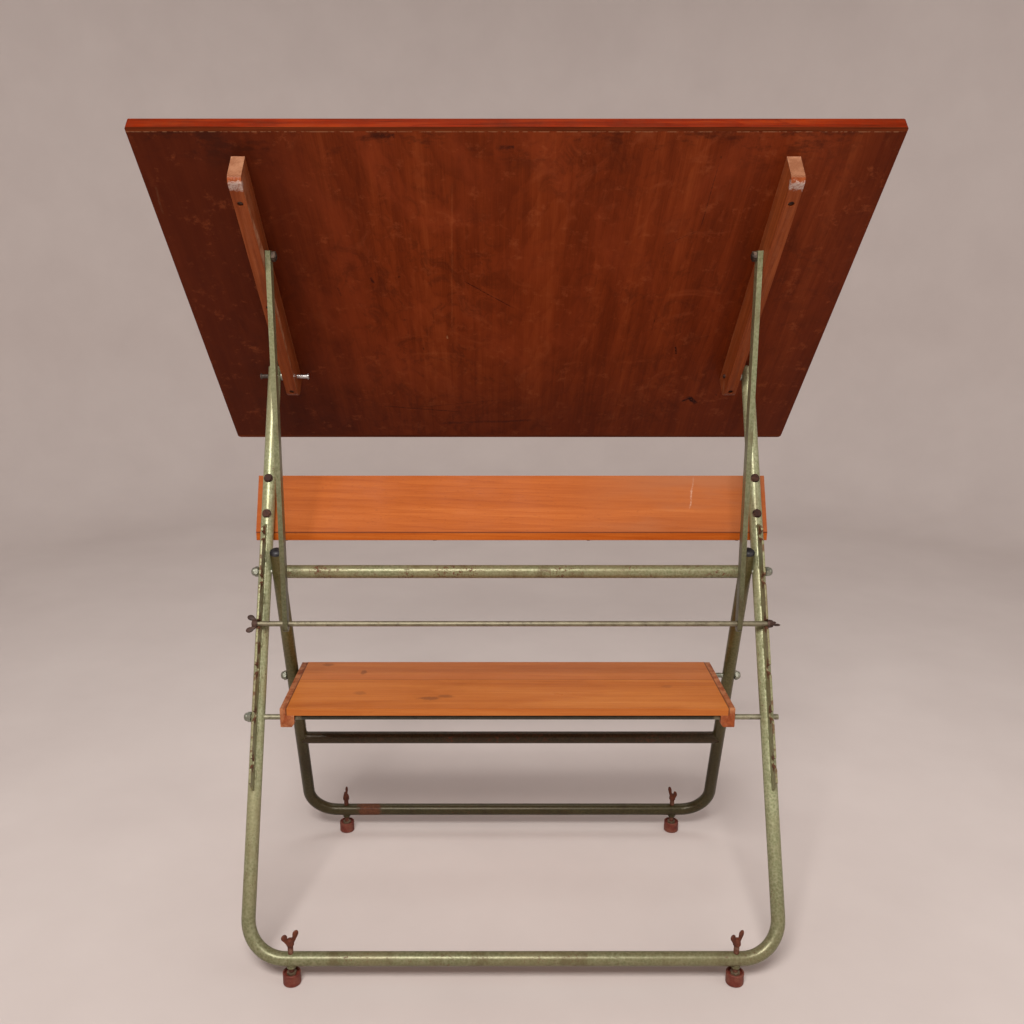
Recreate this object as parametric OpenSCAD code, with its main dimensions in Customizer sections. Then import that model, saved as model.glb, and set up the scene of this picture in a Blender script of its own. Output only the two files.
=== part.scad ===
// Portable drawing board: a wooden board on a folding stand of two U-shaped
// round steel tubes, with notched racks, prop struts, a tray and a low shelf.
// Millimetres, +Z up, floor at z = 0, centred on X and Y.
// +Y is the draughtsman's side, -Y is the back of the stand.

/* [Drawing board] */
// Width of the drawing board
board_w = 1200; // [1150:10:1300]
// Length of the drawing board along its slope
board_l = 800; // [760:10:860]
// Thickness of the drawing board
board_t = 20; // [18:1:24]
// Slope of the drawing board, from the horizontal
board_slope = 45.4; // [44:0.2:47]
// Distance from the board pins down to the lower edge of the board
board_low = 241; // [225:1:255]
// Width of the solid edge strips along the top and bottom edges
lip_w = 8; // [6:1:14]

/* [Board rails] */
// Thickness of a board rail, across the table
rail_t = 22; // [20:1:24]
// Depth of a board rail, square to the board
rail_h = 53; // [48:1:56]
// Rail length above the board pin
rail_up = 505; // [480:5:520]
// Rail length below the board pin
rail_down = 41; // [32:1:44]
// Outer face of a board rail, from the centre of the table
rail_x = 448.5; // [446:0.5:449]

/* [Tube frames] */
// Outer diameter of the frame tubes
tube_d = 25; // [24:0.5:26]
// Wall thickness of the frame tubes
tube_wall = 2; // [1.5:0.1:2.5]
// Half of the distance between the front legs' centre lines
front_x = 471.5; // [469:0.5:472]
// Height of the pivot rod above the floor
pivot_h = 671; // [660:1:684]
// Lean of the front frame from the vertical
front_lean = 25.5; // [25:0.5:27]
// Lean of the rear frame from the vertical
rear_lean = 17.8; // [16:0.1:19]
// Height of the front frame's bottom bar above the floor
bar_front_h = 48; // [46:0.5:52]
// Height of the rear frame's bottom bar above the floor
bar_rear_h = 51; // [48:0.5:54]
// Length of the front legs above the pivot
front_up = 411; // [405:1:417]
// Length of the rear legs above the pivot
rear_up = 42; // [38:1:46]
// Bend radius of the front tube at its centre line
front_bend = 68; // [60:1:76]
// Bend radius of the rear tube at its centre line
rear_bend = 60; // [54:1:66]
// Distance from the pivot down to the lower crossbar
crossbar_down = 431; // [415:1:440]

/* [Racks] */
// Thickness of the notched rack plates
rack_t = 4; // [3:0.5:5]
// Height of a rack above the tube surface
rack_h = 30; // [26:1:34]
// Distance between notches
notch_pitch = 83.3; // [80:0.1:86]
// Highest notch, above the pivot
notch_top = 64.3; // [60:0.1:66]
// Number of notches
notch_n = 6; // [5:1:6]

/* [Rods and struts] */
// Diameter of the rods
rod_d = 10; // [9:0.5:10]
// Diameter of the board pins
pin_d = 8; // [7:0.5:9]
// Width of a strut bar
strut_w = 20; // [18:1:22]
// Thickness of a strut bar
strut_t = 9; // [6:0.5:9]
// Running clearance in the bores, on the radius
fit = 0.05; // [0.02:0.01:0.1]

/* [Tray and shelf] */
// Width of the tray
tray_w = 992; // [960:2:1000]
// Thickness of the tray boards
tray_t = 15; // [14:0.5:16]
// Depth of the tray's level board
tray_d = 165; // [140:5:180]
// Height of the shelf's top face
shelf_h = 448; // [447:0.5:450]
// Half width of the shelf over its rails
shelf_x = 419; // [416:1:424]
// Offset of the shelf from the middle of the stand
shelf_dx = -9.5; // [-12:0.5:6]
// Thickness of the shelf plank
plank_t = 14; // [12:0.5:14]
// Width of a shelf rail
srail_w = 26; // [24:1:28]

/* [Feet] */
// Diameter of the foot cups
cup_d = 31.5; // [28:0.5:32]
// Distance of the front feet from the centre
foot_front_x = 393; // [388:1:394]
// Distance of the rear feet from the centre
foot_rear_x = 366.5; // [364:0.5:372]

/* [Hidden] */
$fn = 64;

tr = tube_d / 2;
rod_r = rod_d / 2;
bore_d = rod_d + 2 * fit;
pin_bore = pin_d + 2 * fit;
rear_x = front_x - tube_d - 1;
sa = sin(front_lean); ca = cos(front_lean);
sb = sin(rear_lean);  cb = cos(rear_lean);
st = sin(board_slope); ct = cos(board_slope);
front_down = (pivot_h - bar_front_h) / ca;
rear_down = (pivot_h - bar_rear_h) / cb;
// board pin, level and depth relative to the pivot
pin_up = front_up - 18;
under = rail_h / 2;
rod_z = 425.6;
front_rod_down = (pivot_h - rod_z) / ca;
rear_rod_down = (pivot_h - rod_z) / cb;
// middle of the whole object's depth, relative to the pivot
y_hi = pin_up * sa + board_low * ct + (under + board_t) * st;
y_lo = -front_down * sa - cup_d / 2;
y0 = -(y_hi + y_lo) / 2;
pin_y = y0 + pin_up * sa;
pin_z = pivot_h + pin_up * ca;
// strut rod in its notch, strut bolt in the board rail
seat_off = 28.3;
notch_used = 2;
rod1_a = notch_top - notch_used * notch_pitch;
rod1_y = y0 + rod1_a * sa - seat_off * ca;
rod1_z = pivot_h + rod1_a * ca + seat_off * sa;
bolt_up = 319.5;
bolt_y = pin_y - bolt_up * ct;
bolt_z = pin_z + bolt_up * st;
strut_lean = atan2(bolt_y - rod1_y, bolt_z - rod1_z);
strut_l = norm([bolt_y - rod1_y, bolt_z - rod1_z]);
strut_x = rail_x - rail_t - 0.5 - strut_t / 2;
rod2_y = y0 - front_rod_down * sa;
rod3_y = y0 + rear_rod_down * sb;
bar_front_y = y0 - front_down * sa;
bar_rear_y = y0 + rear_down * sb;
shelf_front = 130; shelf_back = 94; srail_h = 37.5;
tray_z = pivot_h + 78 * ca - tr * sa - 0.5;
tray_y = y0 + 78 * sa + tr * ca;

green = [0.52, 0.52, 0.36];
wood = [0.75, 0.44, 0.22];
dark_wood = [0.42, 0.19, 0.10];
rust = [0.35, 0.18, 0.12];
nut_grey = [0.48, 0.49, 0.42];

// frames of reference: along the front legs, along the rear legs, on the board
module on_front() translate([0, y0, pivot_h]) rotate([-front_lean, 0, 0]) children();
module on_rear() translate([0, y0, pivot_h]) rotate([rear_lean, 0, 0]) children();
module on_board() translate([0, pin_y, pin_z]) rotate([-board_slope, 0, 0]) children();
module on_strut() translate([0, rod1_y, rod1_z]) rotate([-strut_lean, 0, 0]) children();

// cylinder along X between two stations
module xcyl(d, x0, x1) translate([x0, 0, 0]) rotate([0, 90, 0]) cylinder(d = d, h = x1 - x0);
// flat plate standing square to X; its outline is drawn as (y, z)
module xplate(x0, x1) translate([x0, 0, 0]) rotate([90, 0, 90]) linear_extrude(x1 - x0) children();

// U-shaped tube or its core: legs at +-x from z = up down to the bar at -down
module u_tube(x, up, down, bend, d) {
  for (s = [-1, 1]) {
    translate([s * x, 0, -down + bend]) cylinder(d = d, h = up + down - bend);
    translate([s * (x - bend), 0, -down + bend]) rotate([90, 0, 0])
      rotate([0, 0, s > 0 ? -90 : 180]) rotate_extrude(angle = 90) translate([bend, 0]) circle(d = d);
  }
  translate([0, 0, -down]) xcyl(d, -(x - bend), x - bend);
}

// hexagon nut, axis along X, starting at x0
module hex_x(af, x0, x1) translate([x0, 0, 0]) rotate([0, 90, 0]) rotate([0, 0, 30]) cylinder(d = af / cos(30), h = x1 - x0, $fn = 6);
module hex_z(af, h) cylinder(d = af / cos(30), h = h, $fn = 6);

// domed nut on a rod end: face at x = 0, dome towards +X, rod end at x = 9
module dome_nut() {
  difference() {
    union() {
      hex_x(17, 0, 7);
      rotate([0, 90, 0]) rotate_extrude() polygon([[0, 6.9], [7.9, 6.9], [7.9, 8.2], [7.4, 10.4], [6.2, 12.2], [4.2, 13.4], [2, 13.9], [0, 14]]);
    }
    xcyl(rod_d, -1, 9);
  }
}

module front_frame() color(green) on_front() difference() {
  u_tube(front_x, front_up, front_down, front_bend, tube_d);
  u_tube(front_x, front_up + 1, front_down, front_bend, tube_d - 2 * tube_wall);
  xcyl(bore_d, -front_x - 20, front_x + 20);
  translate([0, 0, -front_rod_down]) xcyl(bore_d, -front_x - 20, front_x + 20);
  translate([0, 0, pin_up]) xcyl(pin_bore, -front_x - 20, front_x + 20);
  for (s = [-1, 1]) {
    for (z = [111, 181]) translate([s * front_x, -20, z]) rotate([-90, 0, 0]) cylinder(d = 8.1, h = 40);
    translate([s * foot_front_x, 0, -front_down]) rotate([front_lean, 0, 0]) translate([0, 0, -20]) cylinder(d = bore_d, h = 40);
  }
}

// notched plate welded along the front of a front leg
rack_top = notch_top + 25; rack_bot = notch_top - (notch_n - 1) * notch_pitch - 50;
rack_out = tr + rack_h;
module rack_outline() difference() {
  polygon([[-9, rack_bot], [-tr - 4, rack_bot], [-rack_out, rack_bot + 14], [-rack_out, rack_top - 12], [-tr - 6, rack_top], [-9, rack_top]]);
  for (i = [0:notch_n - 1]) translate([-seat_off, notch_top - i * notch_pitch]) {
    circle(r = rod_r + 0.35);
    polygon([[0, rod_r + 0.35], [-20, rod_r + 3.4], [-20, -(rod_r + 0.35) / ca - 20 * sa / ca], [-(rod_r + 0.35) * sa, -(rod_r + 0.35) * ca]]);
  }
}
module rack(s) on_front() difference() {
  translate([s * front_x, 0, 0]) xplate(-rack_t / 2, rack_t / 2) rack_outline();
  translate([s * front_x, 0, -500]) cylinder(d = tube_d, h = 700);
}
module rack_left() color(green) rack(-1);
module rack_right() color(green) rack(1);

module pivot_rod() color(nut_grey) on_front() xcyl(rod_d, -front_x - tr - 9, front_x + tr + 9);
module pivot_dome_nuts() color(nut_grey) on_front() {
  translate([front_x + tr, 0, 0]) dome_nut();
  mirror([1, 0, 0]) translate([front_x + tr, 0, 0]) dome_nut();
}
module shelf_front_rod() color(nut_grey) translate([0, rod2_y, rod_z]) xcyl(rod_d, -front_x - tr - 9, front_x + 21);
module front_rod_nut() color(nut_grey) translate([-front_x - tr, rod2_y, rod_z]) mirror([1, 0, 0]) dome_nut();

// tray: a board behind the front legs, and a level board under it
module tray_back() color(wood) difference() {
  on_front() difference() {
    translate([-tray_w / 2, tr, 55]) cube([tray_w, tray_t, 192 - 55]);
    for (s = [-1, 1], z = [111, 181]) translate([s * front_x, 0, z]) rotate([-90, 0, 0]) cylinder(d = 8.1, h = 60);
  }
  translate([-tray_w, y0 - 100, tray_z - 100]) cube([2 * tray_w, 400, 100]);
  for (x = tray_screw_x) translate([x, tray_screw_y, tray_z - 1]) cylinder(d = 4.1, h = 21);
}
tray_screw_x = [-440, -150, 150, 440];
tray_screw_y = tray_y + 12;
module tray_shelf() color(wood) difference() {
  translate([-tray_w / 2, tray_y, tray_z - tray_t]) cube([tray_w, tray_d, tray_t]);
  for (x = tray_screw_x) translate([x, tray_screw_y, tray_z - tray_t - 1]) cylinder(d = 4.1, h = tray_t + 2);
}
module tray_screws() color(rust) for (x = tray_screw_x) translate([x, tray_screw_y, tray_z - tray_t]) {
  translate([0, 0, -3]) intersection() { cylinder(d = 8, h = 3); translate([0, 0, 5]) sphere(d = 12); }
  cylinder(d = 4, h = tray_t + 18);
}
module tray_bolts() color(rust) on_front() for (s = [-1, 1], z = [111, 181]) translate([s * front_x, -tr, z]) rotate([-90, 0, 0]) {
  translate([0, 0, -5.5]) hex_z(13, 5.5);
  cylinder(d = 8, h = tube_d + tray_t + 10);
}
module tray_nuts() color(rust) on_front() for (s = [-1, 1], z = [111, 181]) translate([s * front_x, tr + tray_t, z]) rotate([-90, 0, 0]) difference() {
  hex_z(13, 6.5);
  translate([0, 0, -1]) cylinder(d = 8, h = 12);
}

// pins that carry the board in the tops of the front legs
module board_pin_left() color([0.7, 0.7, 0.68]) on_front() translate([0, 0, pin_up]) {
  xcyl(pin_d, -front_x - tr - 15, -rail_x + rail_t + 23);
  xcyl(11.5, -front_x - tr - 15, -front_x - tr - 12.5);
  xcyl(12, -rail_x + rail_t + 21, -rail_x + rail_t + 23);
}
module board_pin_right() color(rust) on_front() translate([0, 0, pin_up]) {
  xcyl(pin_d, rail_x - rail_t - 4, front_x + tr);
  xcyl(13, front_x + tr, front_x + tr + 4.5);
}
module pin_spacers() color(nut_grey) on_front() for (s = [-1, 1]) translate([0, 0, pin_up]) difference() {
  xcyl(16, s > 0 ? rail_x + 0.5 : -front_x + tr, s > 0 ? front_x - tr : -rail_x - 0.5);
  xcyl(pin_d, -600, 600);
}

module rear_frame() color(green) on_rear() difference() {
  u_tube(rear_x, rear_up, rear_down, rear_bend, tube_d);
  u_tube(rear_x, rear_up + 1, rear_down, rear_bend, tube_d - 2 * tube_wall);
  xcyl(bore_d, -rear_x - 20, rear_x + 20);
  translate([0, 0, -rear_rod_down]) xcyl(bore_d, -rear_x - 20, rear_x + 20);
  for (s = [-1, 1])
    translate([s * foot_rear_x, 0, -rear_down]) rotate([-rear_lean, 0, 0]) translate([0, 0, -20]) cylinder(d = bore_d, h = 40);
}
module crossbar(z) on_rear() difference() {
  translate([0, 0, z]) xcyl(tube_d, -rear_x + 1, rear_x - 1);
  translate([0, 0, z]) xcyl(tube_d - 2 * tube_wall, -rear_x, rear_x);
  for (s = [-1, 1]) translate([s * rear_x, 0, z - 40]) cylinder(d = tube_d, h = 80);
}
module rear_upper_crossbar() color(green) crossbar(0);
module rear_lower_crossbar() color(green) crossbar(-crossbar_down);
module rear_leg_caps() color([0.08, 0.08, 0.09]) on_rear() for (s = [-1, 1]) translate([s * rear_x, 0, rear_up]) {
  rotate_extrude() polygon([[0, 0], [tr, 0], [tr, 2.5], [tr - 1, 5], [tr - 3, 7], [tr - 6.5, 8.5], [0, 9]]);
  translate([0, 0, -14]) cylinder(d = tube_d - 2 * tube_wall, h = 14);
}
module shelf_rear_rod() color(nut_grey) translate([0, rod3_y, rod_z]) xcyl(rod_d, -rear_x - tr - 8, rear_x + tr + 8);
module rear_rod_nuts() color(nut_grey) translate([0, rod3_y, rod_z]) for (s = [0, 1]) mirror([s, 0, 0])
  translate([rear_x + tr, 0, 0]) difference() {
    union() {
      hex_x(17, 0, 6);
      rotate([0, 90, 0]) rotate_extrude() polygon([[0, 5.9], [7.9, 5.9], [7.9, 6.8], [7.3, 8.8], [5.8, 10.7], [3.4, 11.9], [0, 12.3]]);
    }
    xcyl(rod_d, -1, 8);
  }

// welded collars under the bottom bars, for the foot screws
module collar(y, x, h) translate([x, y, 0]) difference() {
  translate([0, 0, h - tr - 4]) cylinder(d = 16, h = 12);
  translate([0, 0, h - tr - 6]) cylinder(d = bore_d, h = 20);
  translate([0, 0, h]) xcyl(tube_d, -30, 30);
}
module front_foot_collars() color(green) for (s = [-1, 1]) collar(bar_front_y, s * foot_front_x, bar_front_h);
module rear_foot_collars() color(green) for (s = [-1, 1]) collar(bar_rear_y, s * foot_rear_x, bar_rear_h);

// foot: wing-headed screw standing in a cup, with a nut in the cup's recess
module foot_screw(x, y, turn) translate([x, y, 0]) {
  translate([0, 0, 9]) sphere(d = 14);
  translate([0, 0, 9]) cylinder(d = rod_d, h = 72);
  translate([0, 0, 18.6]) hex_z(16, 4.6);
  translate([0, 0, 76]) rotate_extrude() polygon([[0, 0], [6.5, 0], [7, 1.2], [6.2, 10.5], [4.6, 12], [0, 12.6]]);
  rotate([0, 0, turn]) xwing();
}
module xwing() translate([0, 2.2, 0]) rotate([90, 0, 0]) linear_extrude(4.4) difference() {
  union() for (s = [-1, 1]) {
    translate([s * 10.9, 95]) circle(r = 5.9);
    polygon([[0, 77.5], [s * 6, 77.5], [s * 16.6, 93], [s * 6.4, 99], [s * 3.4, 92], [0, 89.6]]);
  }
}
module foot_screw_front_left() color(rust) foot_screw(-foot_front_x, bar_front_y, 37);
module foot_screw_front_right() color(rust) foot_screw(foot_front_x, bar_front_y, 35);
module foot_screw_rear_left() color(rust) foot_screw(-foot_rear_x, bar_rear_y, 90);
module foot_screw_rear_right() color(rust) foot_screw(foot_rear_x, bar_rear_y, 113);
module foot_cup(x, y) translate([x, y, 0]) difference() {
  rotate_extrude() polygon([[0, 0], [cup_d / 2 - 1.2, 0], [cup_d / 2, 1.2], [cup_d / 2, 21.7], [cup_d / 2 - 0.8, 22.5], [cup_d / 2 - 2.6, 22.5], [cup_d / 2 - 3.2, 18.6], [0, 18.6]]);
  translate([0, 0, 9]) sphere(d = 14);
  translate([0, 0, 9]) cylinder(d = rod_d + 0.6, h = 30);
}
module foot_cup_front_left() color(rust) foot_cup(-foot_front_x, bar_front_y);
module foot_cup_front_right() color(rust) foot_cup(foot_front_x, bar_front_y);
module foot_cup_rear_left() color(rust) foot_cup(-foot_rear_x, bar_rear_y);
module foot_cup_rear_right() color(rust) foot_cup(foot_rear_x, bar_rear_y);

// shelf
rab_w = srail_w - 11;
shelf_screw_y = [-86, -16, 54];
module shelf_plank() color(wood) difference() {
  translate([shelf_dx - shelf_x + 11, y0 - shelf_front, shelf_h - plank_t]) cube([2 * (shelf_x - 11), shelf_front + shelf_back, plank_t]);
  for (s = [-1, 1], y = shelf_screw_y) translate([shelf_dx + s * (shelf_x - 16.5), y0 + y, shelf_h - 30]) cylinder(d = 4.1, h = 25);
}
module shelf_rail(s) difference() {
  translate([shelf_dx, y0 + shelf_back, 0]) rotate([90, 0, 0]) linear_extrude(shelf_front + shelf_back) scale([s, 1]) polygon([
    [shelf_x, shelf_h], [shelf_x, shelf_h - srail_h], [shelf_x - srail_w + 5, shelf_h - srail_h],
    [shelf_x - srail_w, shelf_h - srail_h + 7], [shelf_x - srail_w, shelf_h - plank_t], [shelf_x - 11, shelf_h - plank_t], [shelf_x - 11, shelf_h]]);
  translate([0, rod3_y, rod_z]) xcyl(bore_d, -500, 500);
  // hooked notch, open downwards, that drops over the front rod
  translate([0, rod2_y, rod_z]) xplate(-500, 500) union() {
    circle(r = rod_r + 0.4);
    rotate([0, 0, -50.7]) translate([0, -rod_r - 0.4]) square([45, rod_d + 0.8]);
    translate([8, -40]) square([26, 24]);
  }
  for (y = shelf_screw_y) translate([shelf_dx + s * (shelf_x - 16.5), y0 + y, shelf_h - srail_h - 1]) cylinder(d = 4.1, h = 40);
}
module shelf_rail_left() color(wood) shelf_rail(-1);
module shelf_rail_right() color(wood) shelf_rail(1);
// screws driven up through the rails into the plank
module shelf_screws() color(rust) for (s = [-1, 1], y = shelf_screw_y) translate([shelf_dx + s * (shelf_x - 16.5), y0 + y, shelf_h - srail_h]) {
  cylinder(d = 4, h = srail_h - 6);
  mirror([0, 0, 1]) intersection() { cylinder(d = 7.6, h = 1.6); translate([0, 0, -4]) sphere(d = 11.2); }
}

// board; local y runs down the slope from the pins, local z is the upward normal
module board_blank(y_a, y_b, r_a, r_b) translate([0, 0, under]) linear_extrude(board_t) difference() {
  translate([-board_w / 2, y_a]) square([board_w, y_b - y_a]);
  if (r_b > 0) for (s = [-1, 1]) translate([s * board_w / 2, y_b]) difference() {
    square(2 * r_b, center = true);
    translate([-s * r_b, -r_b]) circle(r = r_b);
  }
  if (r_a > 0) for (s = [-1, 1]) translate([s * board_w / 2, y_a]) difference() {
    square(2 * r_a, center = true);
    translate([-s * r_a, r_a]) circle(r = r_a);
  }
}
screw_y = [-456, -221.5, 17];
bolt_y_l = -bolt_up;
module board_panel() color(dark_wood) on_board() difference() {
  board_blank(board_low - board_l + lip_w, board_low - lip_w, 0, 0);
  for (s = [-1, 1], y = screw_y) translate([s * (rail_x - rail_t / 2), y, under - 1]) cylinder(d = 5.1, h = 12.5);
}
module board_edge_top() color(wood) on_board() board_blank(board_low - board_l, board_low - board_l + lip_w, 4, 0);
module board_edge_bottom() color(wood) on_board() board_blank(board_low - lip_w, board_low, 0, 7);
module board_rail(s) on_board() difference() {
  xplate(s > 0 ? rail_x - rail_t : -rail_x, s > 0 ? rail_x : -rail_x + rail_t) difference() {
    translate([-rail_up, -rail_h / 2]) square([rail_up + rail_down, rail_h]);
    translate([-rail_up, -rail_h / 2]) difference() { square(22, center = true); translate([11, 11]) circle(r = 11); }
    translate([rail_down, -rail_h / 2]) difference() { square(44, center = true); translate([-22, 22]) circle(r = 22); }
  }
  xcyl(pin_bore, -500, 500);
  translate([0, bolt_y_l, 0]) xcyl(bore_d, -500, 500);
  for (y = screw_y) translate([s * (rail_x - rail_t / 2), y, 0]) {
    translate([0, 0, -40]) cylinder(d = 5.1, h = 80);
    translate([0, 0, -rail_h / 2 - 1]) cylinder(d = 10, h = 7);
  }
}
module board_rail_left() color(wood) board_rail(-1);
module board_rail_right() color(wood) board_rail(1);
module rail_screws() color(rust) on_board() for (s = [-1, 1], y = screw_y) translate([s * (rail_x - rail_t / 2), y, -rail_h / 2]) {
  translate([0, 0, 4]) cylinder(d = 5, h = rail_h + 7);
  translate([0, 0, 3]) cylinder(d = 9.4, h = 3);
}
module strut_bolts() color(nut_grey) on_board() for (s = [0, 1]) mirror([s, 0, 0]) translate([0, bolt_y_l, 0]) {
  xcyl(rod_d, strut_x - strut_t / 2 - 9, rail_x);
  translate([rail_x, 0, 0]) rotate([0, 90, 0]) rotate_extrude() polygon([[0, 0], [9, 0], [8.4, 2], [6, 3.8], [3, 4.6], [0, 4.8]]);
}
module strut_nuts() color(nut_grey) on_board() for (s = [0, 1]) mirror([s, 0, 0]) translate([0, bolt_y_l, 0]) difference() {
  hex_x(16, strut_x - strut_t / 2 - 7.5, strut_x - strut_t / 2 - 0.5);
  xcyl(rod_d, 300, 500);
}

// struts
module strut(s) on_strut() difference() {
  xplate(s * strut_x - strut_t / 2, s * strut_x + strut_t / 2) union() {
    translate([0, -5]) circle(d = strut_w);
    translate([-strut_w / 2, -5]) square([strut_w, strut_l + 5 + 9.5]);
  }
  xcyl(bore_d, -500, 500);
  translate([0, 0, strut_l]) xcyl(bore_d, -500, 500);
}
module strut_left() color(green) strut(-1);
module strut_right() color(green) strut(1);
module strut_rod() color(nut_grey) on_strut() xcyl(rod_d, -front_x - 12, front_x + 12);
// wing nut on the strut rod, outside a rack: face at x = 0, wings towards +X
module wing_nut(turn) rotate([turn, 0, 0]) difference() {
  union() {
    rotate([0, 90, 0]) rotate_extrude() polygon([[0, 0], [8, 0], [8, 2], [6.9, 11], [0, 11]]);
    translate([0, -1.75, 0]) rotate([90, 0, 0]) mirror([0, 0, 1]) linear_extrude(3.5) for (s = [-1, 1]) {
      polygon([[1.5, 0], [1.5, s * 7], [8, s * 17], [19, s * 15], [10, s * 4], [10, 0]]);
      translate([13.5, s * 14]) scale([1.4, 1]) circle(r = 5.2);
    }
  }
  xcyl(bore_d, -1, 30);
}
wn_x = front_x + rack_t / 2 + 0.4;
module wing_nut_left() color(rust) translate([-wn_x, rod1_y, rod1_z]) mirror([1, 0, 0]) wing_nut(-42);
module wing_nut_right() color(rust) translate([wn_x, rod1_y, rod1_z]) wing_nut(80);

front_frame();
rack_left();
rack_right();
pivot_rod();
pivot_dome_nuts();
shelf_front_rod();
front_rod_nut();
tray_back();
tray_shelf();
tray_bolts();
tray_nuts();
tray_screws();
board_pin_left();
board_pin_right();
pin_spacers();
front_foot_collars();
rear_frame();
rear_upper_crossbar();
rear_lower_crossbar();
rear_leg_caps();
shelf_rear_rod();
rear_rod_nuts();
rear_foot_collars();
shelf_plank();
shelf_rail_left();
shelf_rail_right();
shelf_screws();
board_panel();
board_edge_top();
board_edge_bottom();
board_rail_left();
board_rail_right();
rail_screws();
strut_bolts();
strut_nuts();
strut_left();
strut_right();
strut_rod();
wing_nut_left();
wing_nut_right();
foot_screw_front_left();
foot_screw_front_right();
foot_screw_rear_left();
foot_screw_rear_right();
foot_cup_front_left();
foot_cup_front_right();
foot_cup_rear_left();
foot_cup_rear_right();
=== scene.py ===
# Portable drawing board on a folding stand of green tube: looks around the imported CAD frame.
import math

import bmesh
import bpy
import numpy as np
from mathutils import Matrix, Vector


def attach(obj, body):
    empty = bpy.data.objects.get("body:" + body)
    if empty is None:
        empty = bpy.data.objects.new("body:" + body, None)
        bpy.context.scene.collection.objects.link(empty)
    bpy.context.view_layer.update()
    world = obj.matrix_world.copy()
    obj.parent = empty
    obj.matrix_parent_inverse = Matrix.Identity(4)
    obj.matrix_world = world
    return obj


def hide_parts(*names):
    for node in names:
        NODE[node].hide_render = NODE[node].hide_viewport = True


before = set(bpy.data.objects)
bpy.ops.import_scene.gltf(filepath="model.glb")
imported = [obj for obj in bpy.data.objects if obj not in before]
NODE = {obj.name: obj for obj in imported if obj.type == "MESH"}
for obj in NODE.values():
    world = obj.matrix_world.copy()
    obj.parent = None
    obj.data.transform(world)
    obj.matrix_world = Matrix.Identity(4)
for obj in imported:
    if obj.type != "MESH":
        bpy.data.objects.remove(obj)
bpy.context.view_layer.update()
rad = math.radians

# ---------------------------------------------------------------- sizes, in metres, as in the CAD source
Y0 = -0.0293066
PIV = 0.671
TR = 0.0125
FX, RX = 0.4715, 0.4455
SLOPE, LEANF, LEANR = rad(45.4), rad(25.5), rad(17.8)
BAR_F, BAR_R = 0.048, 0.051
PIN = (0.139884, 1.025716)
ROD1 = (-0.098891, 0.590849)
BOLT = (-0.084454, 1.253208)
RODF = (-0.146356, 0.4256)
RODR = (0.049483, 0.4256)
BARF, BARR = -0.326462, 0.169754
FFX, FRX = 0.393, 0.3665
NOTCH_TOP, PITCH, SEAT = 0.0643, 0.0833, 0.0283
RAIL_X, RAIL_T, RAIL_H = 0.4485, 0.022, 0.053
STRUT_X = 0.4215
SHELF_DX = -0.0095


def local(y, z, lean):
    """A frame of reference at (0, y, z), leaned back about X."""
    return Matrix.Translation((0, y, z)) @ Matrix.Rotation(lean, 4, "X")


ON_FRONT = local(Y0, PIV, -LEANF)
ON_REAR = local(Y0, PIV, LEANR)
ON_BOARD = local(PIN[0], PIN[1], -SLOPE)
ON_STRUT = local(ROD1[0], ROD1[1], -math.atan2(BOLT[0] - ROD1[0], BOLT[1] - ROD1[1]))


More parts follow.
